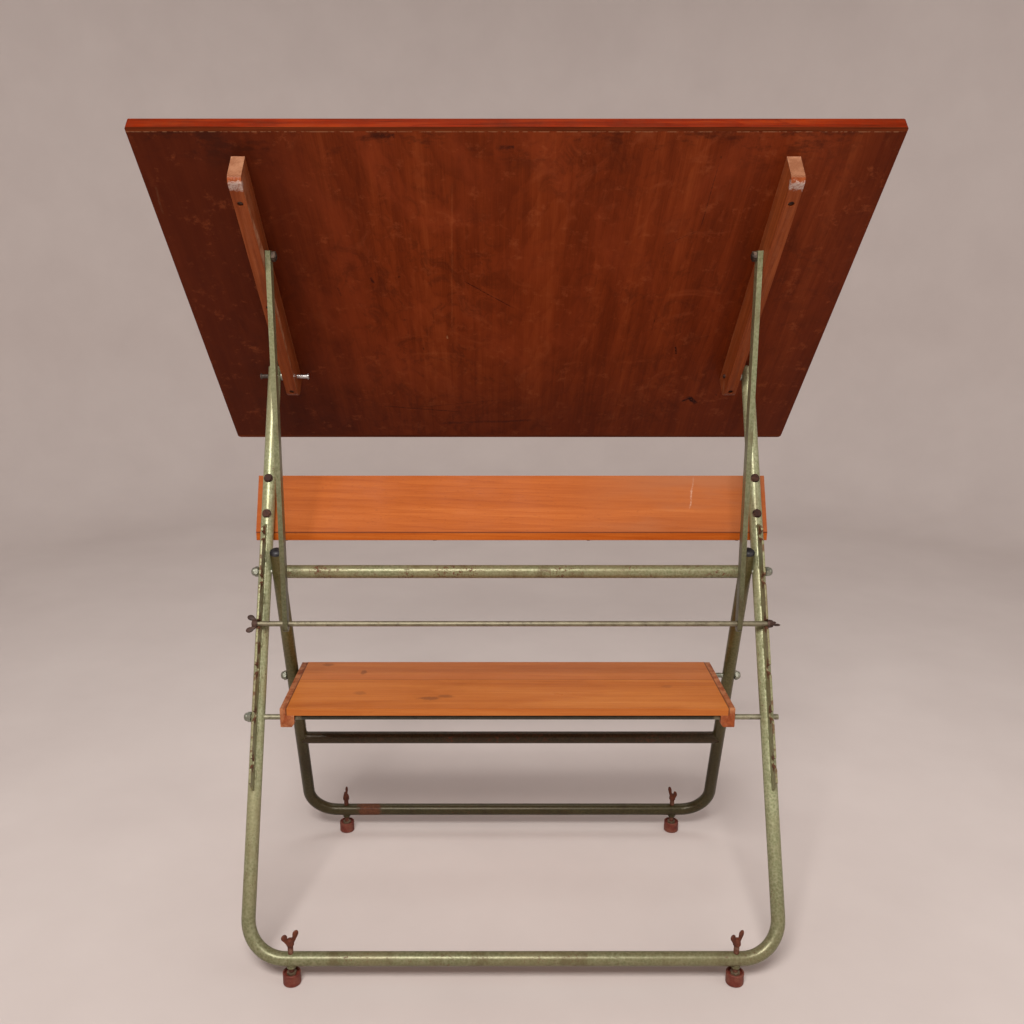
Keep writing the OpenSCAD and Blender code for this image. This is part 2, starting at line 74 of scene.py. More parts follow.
# ---------------------------------------------------------------- node helpers
class Graph:
    """A small wrapper that makes material nodes."""

    def __init__(self, name):
        self.mat = bpy.data.materials.new(name)
        self.mat.use_nodes = True
        self.nt = self.mat.node_tree
        self.nt.nodes.clear()
        self.out = self.nt.nodes.new("ShaderNodeOutputMaterial")
        self.bsdf = self.nt.nodes.new("ShaderNodeBsdfPrincipled")
        self.nt.links.new(self.bsdf.outputs[0], self.out.inputs[0])
        self.tc = self.nt.nodes.new("ShaderNodeTexCoord")
        self.obj = self.tc.outputs["Object"]

    def set(self, **values):
        for k, v in values.items():
            self.bsdf.inputs[k.replace("_", " ")].default_value = v

    def put(self, socket, value):
        if isinstance(value, bpy.types.NodeSocket):
            self.nt.links.new(value, socket)
        elif isinstance(value, (tuple, list)) and len(value) == 3 and socket.type == "RGBA":
            socket.default_value = (*value, 1)
        else:
            socket.default_value = value

    def shader(self, key, value):
        self.put(self.bsdf.inputs[key], value)

    def mapping(self, vec, scale=(1, 1, 1), loc=(0, 0, 0), rot=(0, 0, 0), kind="POINT"):
        n = self.nt.nodes.new("ShaderNodeMapping")
        n.vector_type = kind
        self.put(n.inputs["Vector"], vec)
        n.inputs["Location"].default_value = loc
        n.inputs["Rotation"].default_value = rot
        n.inputs["Scale"].default_value = scale
        return n.outputs[0]

    def noise(self, vec, scale, detail=3.0, rough=0.5, distort=0.0, colour=False):
        n = self.nt.nodes.new("ShaderNodeTexNoise")
        self.put(n.inputs["Vector"], vec)
        n.inputs["Scale"].default_value = scale
        n.inputs["Detail"].default_value = detail
        n.inputs["Roughness"].default_value = rough
        n.inputs["Distortion"].default_value = distort
        return n.outputs["Color" if colour else "Fac"]

    def voronoi(self, vec, scale, feature="F1", out="Distance", smooth=None):
        n = self.nt.nodes.new("ShaderNodeTexVoronoi")
        n.feature = feature
        self.put(n.inputs["Vector"], vec)
        n.inputs["Scale"].default_value = scale
        if smooth is not None:
            n.inputs["Smoothness"].default_value = smooth
        return n.outputs[out]

    def math(self, op, a, b=None, c=None, clamp=False):
        n = self.nt.nodes.new("ShaderNodeMath")
        n.operation = op
        n.use_clamp = clamp
        self.put(n.inputs[0], a)
        if b is not None:
            self.put(n.inputs[1], b)
        if c is not None:
            self.put(n.inputs[2], c)
        return n.outputs[0]

    def vmath(self, op, a, b=None, out=0):
        n = self.nt.nodes.new("ShaderNodeVectorMath")
        n.operation = op
        self.put(n.inputs[0], a)
        if b is not None:
            self.put(n.inputs[1], b)
        return n.outputs[out]

    def step(self, v, lo, hi, a=0.0, b=1.0, smooth=True):
        n = self.nt.nodes.new("ShaderNodeMapRange")
        n.interpolation_type = "SMOOTHSTEP" if smooth else "LINEAR"
        self.put(n.inputs[0], v)
        for i, x in enumerate((lo, hi, a, b)):
            n.inputs[i + 1].default_value = x
        return n.outputs[0]

    def ramp(self, fac, stops, mode="LINEAR"):
        n = self.nt.nodes.new("ShaderNodeValToRGB")
        n.color_ramp.interpolation = mode
        self.put(n.inputs[0], fac)
        e = n.color_ramp.elements
        while len(e) < len(stops):
            e.new(0.5)
        for i, (p, c) in enumerate(stops):
            e[i].position = p
            e[i].color = (*c, 1) if len(c) == 3 else c
        return n.outputs[0]

    def mix(self, fac, a, b, blend="MIX"):
        n = self.nt.nodes.new("ShaderNodeMix")
        n.data_type = "RGBA"
        n.blend_type = blend
        self.put(n.inputs[0], fac)
        self.put(n.inputs[6], a)
        self.put(n.inputs[7], b)
        return n.outputs[2]

    def fmix(self, fac, a, b):
        n = self.nt.nodes.new("ShaderNodeMix")
        n.data_type = "FLOAT"
        self.put(n.inputs[0], fac)
        self.put(n.inputs[2], a)
        self.put(n.inputs[3], b)
        return n.outputs[0]

    def split(self, vec):
        n = self.nt.nodes.new("ShaderNodeSeparateXYZ")
        self.put(n.inputs[0], vec)
        return n.outputs[0], n.outputs[1], n.outputs[2]

    def join(self, x, y, z):
        n = self.nt.nodes.new("ShaderNodeCombineXYZ")
        for s, v in zip(n.inputs, (x, y, z)):
            self.put(s, v)
        return n.outputs[0]

    def bump(self, height, distance, strength=1.0, normal=None):
        n = self.nt.nodes.new("ShaderNodeBump")
        n.inputs["Strength"].default_value = strength
        n.inputs["Distance"].default_value = distance
        self.put(n.inputs["Height"], height)
        if normal is not None:
            self.put(n.inputs["Normal"], normal)
        return n.outputs[0]

    def edges(self, lo=0.54, hi=0.62):
        """1 on convex edges, from the mesh's own pointiness."""
        n = self.nt.nodes.new("ShaderNodeNewGeometry")
        return self.step(n.outputs["Pointiness"], lo, hi)

    def into(self, lean, y, z):
        """Object coordinates seen from a leaned frame of reference."""
        return self.mapping(self.obj, loc=(0, y, z), rot=(lean, 0, 0), kind="TEXTURE")


RUST = [(0.0, (0.030, 0.012, 0.008)), (0.45, (0.095, 0.030, 0.013)), (0.75, (0.17, 0.060, 0.022)), (1.0, (0.25, 0.11, 0.045))]


# ---------------------------------------------------------------- materials
def green_paint(name, lean, chips=False, patch=False, rust_amount=0.5, fade=None, painted_shade=(1.0, 1.0, 1.0), oval=None, specks=0.655):
    g = Graph(name)
    p = g.into(lean, Y0, PIV)
    cells = g.voronoi(g.obj, 230, "SMOOTH_F1", smooth=0.6)
    fine = g.noise(g.obj, 520, 3, 0.6)
    wide = g.noise(g.obj, 9, 4, 0.6)
    tone = g.math("ADD", g.math("MULTIPLY", cells, 0.55), g.math("MULTIPLY", fine, 0.45))
    col = g.ramp(tone, [(0.18, (0.175, 0.188, 0.088)), (0.42, (0.255, 0.270, 0.142)), (0.66, (0.36, 0.37, 0.225))])
    col = g.mix(g.step(wide, 0.40, 0.66, 0.0, 0.55), col, (0.300, 0.270, 0.145))
    # the paint has thinned and browned along some stretches
    brown = g.step(g.noise(g.mapping(p, (26, 26, 5)), 1, 5, 0.65), 0.50, 0.70, 0.0, 0.58)
    col = g.mix(brown, col, (0.155, 0.115, 0.052))
    rust_col = g.ramp(g.noise(g.obj, 240, 4, 0.7), RUST)
    # small rust pits everywhere, gathered in clusters
    cluster = g.step(g.noise(g.obj, 17, 3, 0.55), 0.46, 0.70)
    pits = g.voronoi(g.vmath("ADD", g.obj, g.vmath("MULTIPLY", g.noise(g.obj, 160, 2, 0.5, colour=True), (0.002, 0.002, 0.002))), 310)
    pit = g.step(pits, 0.10, 0.20, 1.0, 0.0)
    speck = g.step(g.noise(g.obj, 430, 3, 0.62), specks, specks + 0.045)
    spots = g.math("MULTIPLY", g.math("MAXIMUM", g.math("MULTIPLY", pit, 0.8), speck), g.math("ADD", g.math("MULTIPLY", cluster, rust_amount), 0.30))
    blot = g.step(g.noise(g.obj, 46, 5, 0.72), 0.665, 0.72, 0.0, rust_amount)
    mid = g.math("MULTIPLY", g.step(g.noise(g.obj, 150, 5, 0.72), specks - 0.045, specks), g.math("MULTIPLY", g.math("ADD", cluster, 0.25), min(1.0, rust_amount)))
    rust = g.math("MAXIMUM", g.math("MAXIMUM", spots, blot), mid)
    if chips:
        # chipped paint round the mouth of every notch, and rust run down from it
        x, y, z = g.split(p)
        w = g.math("SUBTRACT", g.math("PINGPONG", g.math("ADD", z, PITCH * 8 - NOTCH_TOP), PITCH / 2), 0.0)
        r = g.math("POWER", g.math("ADD", g.math("POWER", g.math("MULTIPLY", w, 0.55), 2.0), g.math("POWER", g.math("ADD", y, 0.033), 2.0)), 0.5)
        ragged = g.math("ADD", r, g.math("MULTIPLY", g.math("SUBTRACT", g.noise(g.obj, 150, 4, 0.7), 0.5), 0.022))
        rust = g.math("MAXIMUM", rust, g.step(ragged, 0.0075, 0.0115, 0.95, 0.0))
        edge_wear = g.math("MULTIPLY", g.step(y, -0.0385, -0.0415), g.step(g.noise(g.obj, 70, 4, 0.7), 0.50, 0.60))
        rust = g.math("MAXIMUM", rust, g.math("MULTIPLY", edge_wear, 0.8))
    if patch:
        x, y, z = g.split(g.obj)
        wob = g.math("MULTIPLY", g.math("SUBTRACT", g.noise(g.obj, 90, 5, 0.75), 0.5), 0.050)
        d = g.math("ABSOLUTE", g.math("ADD", g.math("ADD", x, 0.313), wob))
        low = g.step(z, 0.075, 0.068)
        rust = g.math("MAXIMUM", rust, g.math("MULTIPLY", g.step(d, 0.020, 0.030, 0.93, 0.0), low))
    # painted shade: this copy of the green paint is darkened as a whole, for a part that gets less light
    if painted_shade != (1.0, 1.0, 1.0):
        col = g.mix(1.0, col, painted_shade, "MULTIPLY")
    if fade:
        # painted shade: the colour is darkened more and more towards the floor
        z0, m0, z1, m1 = fade
        zz = g.math("ADD", g.split(g.obj)[2], g.math("MULTIPLY", g.math("SUBTRACT", g.noise(g.obj, 14, 3, 0.6), 0.5), 0.12))
        col = g.mix(g.step(zz, z0, z1, 1.0, 0.0), col, g.mix(1.0, col, (m0, m0 * 0.93, m0 * 0.85), "MULTIPLY"))
    if oval:
        # a bare brown oval left by an old label or knock
        ox, oy, oz, w, h = oval
        x, y, z = g.split(p)
        e = g.math("ADD", g.math("POWER", g.math("DIVIDE", g.math("SUBTRACT", y, oy), w), 2.0), g.math("POWER", g.math("DIVIDE", g.math("SUBTRACT", z, oz), h), 2.0))
        e = g.math("ADD", e, g.math("MULTIPLY", g.math("SUBTRACT", g.noise(g.obj, 300, 3, 0.6), 0.5), 0.5))
        rust = g.math("MAXIMUM", rust, g.math("MULTIPLY", g.step(e, 0.8, 1.1, 0.95, 0.0), g.step(x, ox, ox - 0.001)))
    col = g.mix(rust, col, rust_col)
    g.shader("Base Color", col)
    g.shader("Metallic", g.fmix(rust, 0.30, 0.05))
    g.shader("Roughness", g.fmix(rust, g.math("ADD", g.math("MULTIPLY", fine, 0.16), 0.29), 0.85))
    g.set(Coat_Weight=0.05, Coat_Roughness=0.22, Specular_IOR_Level=0.34)
    h = g.math("ADD", g.math("MULTIPLY", cells, 0.6), g.math("MULTIPLY", fine, 0.4))
    h = g.math("SUBTRACT", h, g.math("MULTIPLY", rust, 0.75))
    g.shader("Normal", g.bump(h, 0.00028, 0.75))
    return g.mat


def metal(name, low, mid, high, metallic, rough, rust_amount, grime=(0.05, 0.035, 0.02), shadow_span=None):
    """Old zinc or steel with dull patches, dark grime and spots of rust; where a span is given, a painted shadow along
    it.
    """
    g = Graph(name)
    broad = g.noise(g.obj, 60, 4, 0.6)
    fine = g.noise(g.obj, 700, 3, 0.6)
    col = g.ramp(g.math("ADD", g.math("MULTIPLY", broad, 0.7), g.math("MULTIPLY", fine, 0.3)), [(0.33, low), (0.5, mid), (0.66, high)])
    grime_and_shade = g.step(g.noise(g.obj, 130, 5, 0.7), 0.54, 0.68, 0.0, 0.7)
    col = g.mix(grime_and_shade, col, grime)
    if shadow_span:
        # painted shadow: darker along the middle, where another piece above shades the rod
        away = g.math("ABSOLUTE", g.math("SUBTRACT", g.split(g.obj)[0], shadow_span[0]))
        dull = g.step(away, shadow_span[1] - 0.006, shadow_span[1], 0.88, 0.0)
        grime_and_shade = g.math("MAXIMUM", grime_and_shade, dull)
        col = g.mix(dull, col, (0.020, 0.019, 0.014))
    rust_col = g.ramp(g.noise(g.obj, 330, 4, 0.7), RUST)
    rust = g.math("MULTIPLY", g.step(g.noise(g.obj, 210, 5, 0.72), 0.66 - 0.16 * rust_amount, 0.74 - 0.16 * rust_amount), min(1.0, 0.4 + rust_amount))
    g.shader("Base Color", g.mix(rust, col, rust_col))
    g.shader("Metallic", g.fmix(g.math("MAXIMUM", rust, g.math("MULTIPLY", grime_and_shade, 0.6)), metallic, 0.05))
    g.shader("Roughness", g.fmix(rust, g.math("ADD", g.math("MULTIPLY", broad, 0.3), rough - 0.12), 0.88))
    g.shader("Normal", g.bump(g.math("SUBTRACT", g.math("MULTIPLY", fine, 0.5), rust), 0.00016, 0.8))
    return g.mat


def rusty(name, stops, rough=0.72, metallic=0.15, grain=260, spec=0.32):
    """Steel rusted all over, browner and darker in patches."""
    g = Graph(name)
    broad = g.noise(g.obj, grain * 0.28, 5, 0.7)
    fine = g.noise(g.obj, grain * 2.6, 4, 0.7)
    t = g.math("ADD", g.math("MULTIPLY", broad, 0.66), g.math("MULTIPLY", fine, 0.34))
    col = g.ramp(t, stops)
    edge = g.math("MULTIPLY", g.edges(0.53, 0.60), g.step(broad, 0.42, 0.62))
    col = g.mix(g.math("MULTIPLY", edge, 0.45), col, (0.30, 0.21, 0.15))
    g.shader("Base Color", col)
    g.shader("Metallic", g.math("MULTIPLY", edge, 0.5))
    g.shader("Roughness", g.step(t, 0.3, 0.7, rough - 0.16, min(1.0, rough + 0.14), smooth=False))
    g.set(Specular_IOR_Level=spec)
    g.shader("Normal", g.bump(t, 0.0006, 0.85))
    return g.mat


def wood(name, lean, y, z, along, stops, pith=(0.0, 0.06), tilt=0.05, ring=95.0, fibre=0.5, band=0.5, coat=0.25, rough=0.42,
         stains=0.3, speckle=0.0, wear=None, seed=0.0, marks=(), ring_mix=0.5, dark=(0.055, 0.018, 0.008), bump=0.00012, surface=None, spec=0.12):
    """Varnished wood whose grain runs along one axis of a leaned frame: 0 is X, 1 is down the slope."""
    g = Graph(name)
    p = g.into(lean, y, z)
    px, py, pz = g.split(p)
    a, b = (px, py) if along == 0 else (py, px)
    q = g.join(g.math("ADD", a, seed), b, pz)
    sway = g.noise(g.mapping(q, (1.6, 7, 7)), 1, 3, 0.5, colour=True)
    sx, sy, sz = g.split(sway)
    # growth rings: distance from a tilted pith, so flat-sawn faces show long arches
    cy = g.math("ADD", g.math("ADD", b, pith[0]), g.math("MULTIPLY", g.math("SUBTRACT", sy, 0.5), 0.10))
    cz = g.math("ADD", g.math("ADD", pz, pith[1]), g.math("MULTIPLY", g.math("ADD", a, seed), tilt))
    rr = g.math("POWER", g.math("ADD", g.math("MULTIPLY", cy, cy), g.math("MULTIPLY", cz, cz)), 0.5)
    wob = g.math("MULTIPLY", g.noise(g.mapping(q, (3, 30, 30)), 1, 4, 0.6), 0.022)
    turns = g.math("MULTIPLY", g.math("ADD", rr, wob), ring)
    saw = g.math("FRACT", turns)
    late = g.math("POWER", saw, 3.0)
    late = g.math("MULTIPLY", late, g.step(saw, 1.0, 0.93))
    bands = g.noise(g.mapping(q, (1.1, 22, 22)), 1, 5, 0.62)
    fibres = g.noise(g.mapping(q, (16, 700, 700)), 1, 3, 0.65)
    streak = g.noise(g.mapping(q, (4.5, 150, 150)), 1, 4, 0.6)
    t = g.math("ADD", g.math("MULTIPLY", bands, band), g.math("MULTIPLY", streak, fibre))
    t = g.math("DIVIDE", t, band + fibre)
    t = g.math("SUBTRACT", t, g.math("MULTIPLY", late, 0.16 * ring_mix))
    t = g.math("ADD", t, g.math("MULTIPLY", g.math("SUBTRACT", fibres, 0.5), 0.22))
    col = g.ramp(t, stops)
    if speckle:
        fleck = g.step(g.noise(g.mapping(q, (120, 420, 420)), 1, 2, 0.5), 0.62, 0.72, 0.0, speckle)
        col = g.mix(fleck, col, dark)
    # worn and stained varnish
    blot = g.noise(g.vmath("ADD", q, (seed * 3.1 + 4.0, 2.0, 1.0)), 5.5, 6, 0.68)
    col = g.mix(g.step(blot, 0.52, 0.74, 0.0, stains), col, dark)
    spots = g.step(g.noise(g.mapping(q, (40, 95, 95)), 1, 3, 0.6), 0.735, 0.79, 0.0, min(1.0, stains * 2.2))
    col = g.mix(spots, col, dark)
    height = g.math("SUBTRACT", g.math("MULTIPLY", fibres, 0.6), g.math("MULTIPLY", late, 0.25))
    for (u0, v0, u1, v1, width, tint, strength) in marks:
        # one scratch or scuff: a soft thin line from (u0, v0) to (u1, v1) in the frame of reference
        mx, my, ang, ln = (u0 + u1) / 2, (v0 + v1) / 2, math.atan2(v1 - v0, u1 - u0), math.hypot(u1 - u0, v1 - v0) / 2
        bent = g.vmath("ADD", g.join(px, py, 0.0), g.vmath("MULTIPLY", g.vmath("SUBTRACT", g.noise(p, 26, 3, 0.6, colour=True), (0.5, 0.5, 0.5)), (width * 2.4, width * 2.4, 0.0)))
        m = g.mapping(bent, (ln, width, 1.0), (mx, my, 0.0), (0, 0, ang), "TEXTURE")
        mu, mv, _ = g.split(m)
        mask = g.math("MULTIPLY", g.step(g.math("ABSOLUTE", mu), 0.72, 1.0, 1.0, 0.0), g.step(g.math("ABSOLUTE", mv), 0.35, 1.0, 1.0, 0.0))
        mask = g.math("MULTIPLY", mask, g.step(g.noise(p, 190, 3, 0.7), 0.36, 0.55, 0.25, 1.0))
        col = g.mix(g.math("MULTIPLY", mask, strength), col, tint)
        height = g.math("SUBTRACT", height, g.math("MULTIPLY", mask, 0.4))
    if surface is not None:
        col = surface(g, col, p, q)
    if wear is not None:
        e = g.math("MULTIPLY", g.edges(0.52, 0.58), g.step(g.noise(g.obj, 40, 4, 0.7), 0.38, 0.60, 0.15, 0.8))
        col = g.mix(e, col, wear)
    g.shader("Base Color", col)
    g.shader("Roughness", g.math("ADD", g.math("MULTIPLY", g.math("SUBTRACT", blot, 0.5), 0.5), g.math("ADD", g.math("MULTIPLY", fibres, 0.16), rough - 0.08), clamp=True))
    g.set(Coat_Weight=coat, Coat_Roughness=0.28, Specular_IOR_Level=spec)
    g.shader("Normal", g.bump(height, bump, 0.8))
    return g.mat


M = {}
# One green paint in several copies; their darkening factors and their darkening towards the floor are painted shade for
# how much light each part gets
M["green_front"] = green_paint("green_front", -LEANF, rust_amount=0.65, specks=0.632, fade=(0.02, 0.58, 0.36, 1.0))
M["green_rack"] = green_paint("green_rack", -LEANF, chips=True, rust_amount=0.7, painted_shade=(0.80, 0.76, 0.72), oval=(-0.40, -0.0290, -0.1470, 0.0100, 0.0125))
M["green_rear"] = green_paint("green_rear", LEANR, patch=True, rust_amount=0.60, fade=(0.14, 0.40, 0.58, 1.0), painted_shade=(0.40, 0.335, 0.225))
M["green_bar"] = green_paint("green_bar", LEANR, rust_amount=1.1, painted_shade=(0.71, 0.68, 0.65), specks=0.590)
# painted shadow: the lower crossbar's paint is darkened to stand for the shelf's shadow on it
M["green_in_shelf_shadow"] = green_paint("green_in_shelf_shadow", LEANR, rust_amount=0.8, painted_shade=(0.155, 0.105, 0.075), specks=0.60)
M["green_strut"] = green_paint("green_strut", LEANR, rust_amount=0.45, fade=(0.60, 0.46, 1.05, 1.0), painted_shade=(0.70, 0.71, 0.70))
M["rod_steel"] = metal("rod_steel", (0.130, 0.112, 0.070), (0.19, 0.165, 0.105), (0.26, 0.235, 0.155), 0.50, 0.42, 0.25)
# painted shadow along the middle of the front rod, under the shelf
M["rod_front"] = metal("rod_front", (0.15, 0.135, 0.085), (0.22, 0.20, 0.13), (0.30, 0.28, 0.19), 0.50, 0.42, 0.25, shadow_span=(SHELF_DX, 0.385))
M["nut_steel"] = metal("nut_steel", (0.15, 0.155, 0.12), (0.27, 0.275, 0.22), (0.42, 0.42, 0.35), 0.75, 0.40, 0.25)
M["pin_zinc"] = metal("pin_zinc", (0.45, 0.45, 0.44), (0.62, 0.62, 0.60), (0.78, 0.78, 0.76), 0.9, 0.30, 0.0, grime=(0.12, 0.10, 0.08))
M["rusty_fastener"] = rusty("rusty_fastener", [(0.30, (0.010, 0.004, 0.003)), (0.50, (0.034, 0.010, 0.0055)), (0.70, (0.085, 0.028, 0.015))], rough=0.66, spec=0.22)
M["rusty_wing"] = rusty("rusty_wing", [(0.28, (0.026, 0.0065, 0.0035)), (0.48, (0.088, 0.020, 0.0085)), (0.70, (0.185, 0.050, 0.019))], rough=0.70)
M["rusty_dark_wing"] = rusty("rusty_dark_wing", [(0.28, (0.012, 0.006, 0.005)), (0.50, (0.042, 0.019, 0.013)), (0.72, (0.115, 0.062, 0.045))], rough=0.60)
M["dark_fastener"] = rusty("dark_fastener", [(0.30, (0.009, 0.005, 0.004)), (0.50, (0.028, 0.015, 0.010)), (0.70, (0.075, 0.046, 0.031))], rough=0.58, metallic=0.3, spec=0.25)
M["foot_nut"] = rusty("foot_nut", [(0.30, (0.050, 0.030, 0.018)), (0.50, (0.125, 0.085, 0.050)), (0.70, (0.24, 0.18, 0.12))], rough=0.55, metallic=0.4)
M["foot_cup"] = rusty("foot_cup", [(0.26, (0.045, 0.0085, 0.0055)), (0.48, (0.130, 0.0210, 0.0110)), (0.72, (0.215, 0.043, 0.021))], rough=0.62, spec=0.35)


def pin_material():
    """The left pin: brown outside the leg and through the rail, bare bright metal at the inner tip."""
    g = Graph("board_pin")
    x = g.split(g.obj)[0]
    n = g.noise(g.obj, 420, 4, 0.65)
    tip = g.step(g.math("ADD", x, g.math("MULTIPLY", g.math("SUBTRACT", n, 0.5), 0.004)), -0.4270, -0.4260)
    dull = g.ramp(n, [(0.32, (0.020, 0.013, 0.010)), (0.55, (0.065, 0.045, 0.034)), (0.72, (0.16, 0.13, 0.11))])
    g.shader("Base Color", g.mix(tip, dull, g.ramp(n, [(0.35, (0.50, 0.50, 0.50)), (0.65, (0.80, 0.80, 0.79))])))
    g.shader("Metallic", g.fmix(tip, 0.35, 0.92))
    g.shader("Roughness", g.fmix(tip, 0.62, g.step(n, 0.3, 0.7, 0.20, 0.34, smooth=False)))
    g.shader("Normal", g.bump(n, 0.00012, 0.6))
    return g.mat


M["board_pin"] = pin_material()


def plug_material():
    g = Graph("black_plug")
    n = g.noise(g.obj, 240, 4, 0.6)
    g.shader("Base Color", g.ramp(n, [(0.3, (0.006, 0.006, 0.008)), (0.7, (0.024, 0.022, 0.026))]))
    g.shader("Roughness", g.step(n, 0.3, 0.7, 0.38, 0.62, smooth=False))
    g.shader("Normal", g.bump(n, 0.0003, 0.5))
    return g.mat


M["black_plug"] = plug_material()


def board_surface(g, col, p, q):
    """The underside is dark, partly stain and partly painted shade for the side turned down from the light; the drawing
    face is paler, rubbed and full of pin pricks.
    """
    n = g.tc.outputs["Normal"]
    up = g.step(g.vmath("DOT_PRODUCT", n, (0.0, math.sin(SLOPE), math.cos(SLOPE)), out=1), 0.6, 0.8)
    px, py, pz = g.split(p)
    # broad wipes of a varnish brush; painted shade darkens both ends, the left most, and the low edge, leaving a paler
    # middle
    swirl = g.noise(g.mapping(q, (2.2, 3.4, 3.0)), 1, 5, 0.6, distort=1.6)
    wipe = g.noise(g.vmath("ADD", q, g.vmath("MULTIPLY", g.noise(q, 2.4, 2, 0.5, colour=True), (0.4, 0.4, 0.4))), 11, 5, 0.62, distort=2.2)
    col = g.mix(g.step(swirl, 0.44, 0.68, 0.0, 0.55), col, (0.245, 0.0420, 0.0115))
    col = g.mix(g.step(wipe, 0.55, 0.75, 0.0, 0.34), col, (0.29, 0.068, 0.0220))
    # painted shade towards both ends of the board
    side = g.step(g.math("ABSOLUTE", g.math("SUBTRACT", px, 0.10)), 0.28, 0.60, 0.0, 0.74)
    col = g.mix(side, col, (0.058, 0.0095, 0.0034))
    low_edge_shade = g.step(g.math("ADD", py, g.math("MULTIPLY", g.math("SUBTRACT", swirl, 0.5), 0.3)), 0.02, 0.22, 0.0, 0.24)
    col = g.mix(low_edge_shade, col, (0.085, 0.0150, 0.0055))
    # smoky blotches and fine pale wisps in the old stain
    where = g.step(g.noise(q, 2.6, 3, 0.6), 0.40, 0.62, 0.25, 1.0)
    smoke = g.math("MULTIPLY", g.step(g.noise(g.mapping(q, (20, 24, 20)), 1, 6, 0.74, distort=0.8), 0.47, 0.66), where)
    col = g.mix(g.math("MULTIPLY", smoke, 0.46), col, (0.052, 0.0100, 0.0038))
    col = g.mix(g.step(g.noise(g.mapping(q, (34, 30, 30), loc=(3.1, 0.4, 0)), 1, 6, 0.76), 0.55, 0.70, 0.0, 0.34), col, (0.32, 0.080, 0.026))
    # stains along the upper edge
    stain = g.math("MULTIPLY", g.step(g.noise(g.mapping(p, (9, 16, 9), loc=(0.7, 0.2, 0)), 1, 5, 0.7), 0.52, 0.66), g.step(py, -0.46, -0.53))
    col = g.mix(g.math("MULTIPLY", stain, 0.6), col, (0.030, 0.0080, 0.0045))
    # glue line next to the edge strip at the top
    line = g.math("MULTIPLY", g.step(g.math("ABSOLUTE", g.math("ADD", py, 0.551)), 0.0008, 0.0018, 1.0, 0.0), g.step(g.noise(g.mapping(p, (150, 150, 150)), 1, 2, 0.5), 0.40, 0.60, 0.0, 0.5))
    col = g.mix(line, col, (0.42, 0.22, 0.11))
    # the drawing face gets its own paler colour; the underside's darker colour is partly the wood's stain and partly
    # painted shade for the side turned down from the light
    top = g.ramp(g.noise(g.mapping(q, (2, 60, 60)), 1, 5, 0.6), [(0.32, (0.33, 0.150, 0.056)), (0.5, (0.41, 0.200, 0.080)), (0.68, (0.48, 0.250, 0.110))])
    top = g.mix(g.step(g.noise(q, 4.5, 5, 0.65), 0.45, 0.70, 0.0, 0.4), top, (0.22, 0.085, 0.032))
    top = g.mix(g.step(g.voronoi(g.obj, 95), 0.045, 0.075, 0.75, 0.0), top, (0.06, 0.025, 0.012))
    return g.mix(up, col, top)


def edge_surface(g, col, p, q):
    """Bright varnish on the end face; the face flush with the underside is as dark as the board, painted shade for the
    side turned down from the light.
    """
    n = g.tc.outputs["Normal"]
    turned_down_shade = g.step(g.vmath("DOT_PRODUCT", n, (0.0, -math.sin(SLOPE), -math.cos(SLOPE)), out=1), 0.6, 0.8)
    t = g.noise(g.mapping(q, (5, 160, 160)), 1, 4, 0.6)
    return g.mix(turned_down_shade, col, g.ramp(t, [(0.35, (0.085, 0.0150, 0.0045)), (0.65, (0.17, 0.034, 0.0100))]))


def rail_surface(g, col, p, q):
    """Paler end grain at the top end, with a whitish worn corner."""
    px, py, pz = g.split(p)
    end = g.step(py, -0.5030, -0.5043)
    rings = g.math("FRACT", g.math("MULTIPLY", g.math("ADD", pz, g.math("MULTIPLY", px, 0.6)), 300.0))
    col = g.mix(end, col, g.ramp(g.math("ADD", g.math("MULTIPLY", rings, 0.4), g.math("MULTIPLY", g.noise(g.obj, 600, 3, 0.6), 0.6)), [(0.3, (0.155, 0.052, 0.0230)), (0.7, (0.25, 0.100, 0.050))]))
    ragged = g.math("MULTIPLY", g.math("SUBTRACT", g.noise(g.obj, 110, 4, 0.7), 0.5), 0.030)
    d = g.math("POWER", g.math("ADD", g.math("POWER", g.math("ADD", py, 0.492), 2.0), g.math("POWER", g.math("ADD", pz, 0.0265), 2.0)), 0.5)
    worn = g.math("MULTIPLY", g.step(g.math("ADD", d, ragged), 0.004, 0.010, 0.85, 0.0), g.step(g.noise(g.obj, 330, 3, 0.7), 0.36, 0.56, 0.35, 1.0))
    col = g.mix(worn, col, (0.46, 0.36, 0.31))
    foot = g.step(g.noise(g.obj, 90, 4, 0.7), 0.56, 0.64, 0.0, 0.6)
    col = g.mix(g.math("MULTIPLY", foot, g.step(py, 0.020, 0.040)), col, (0.075, 0.020, 0.010))
    return col


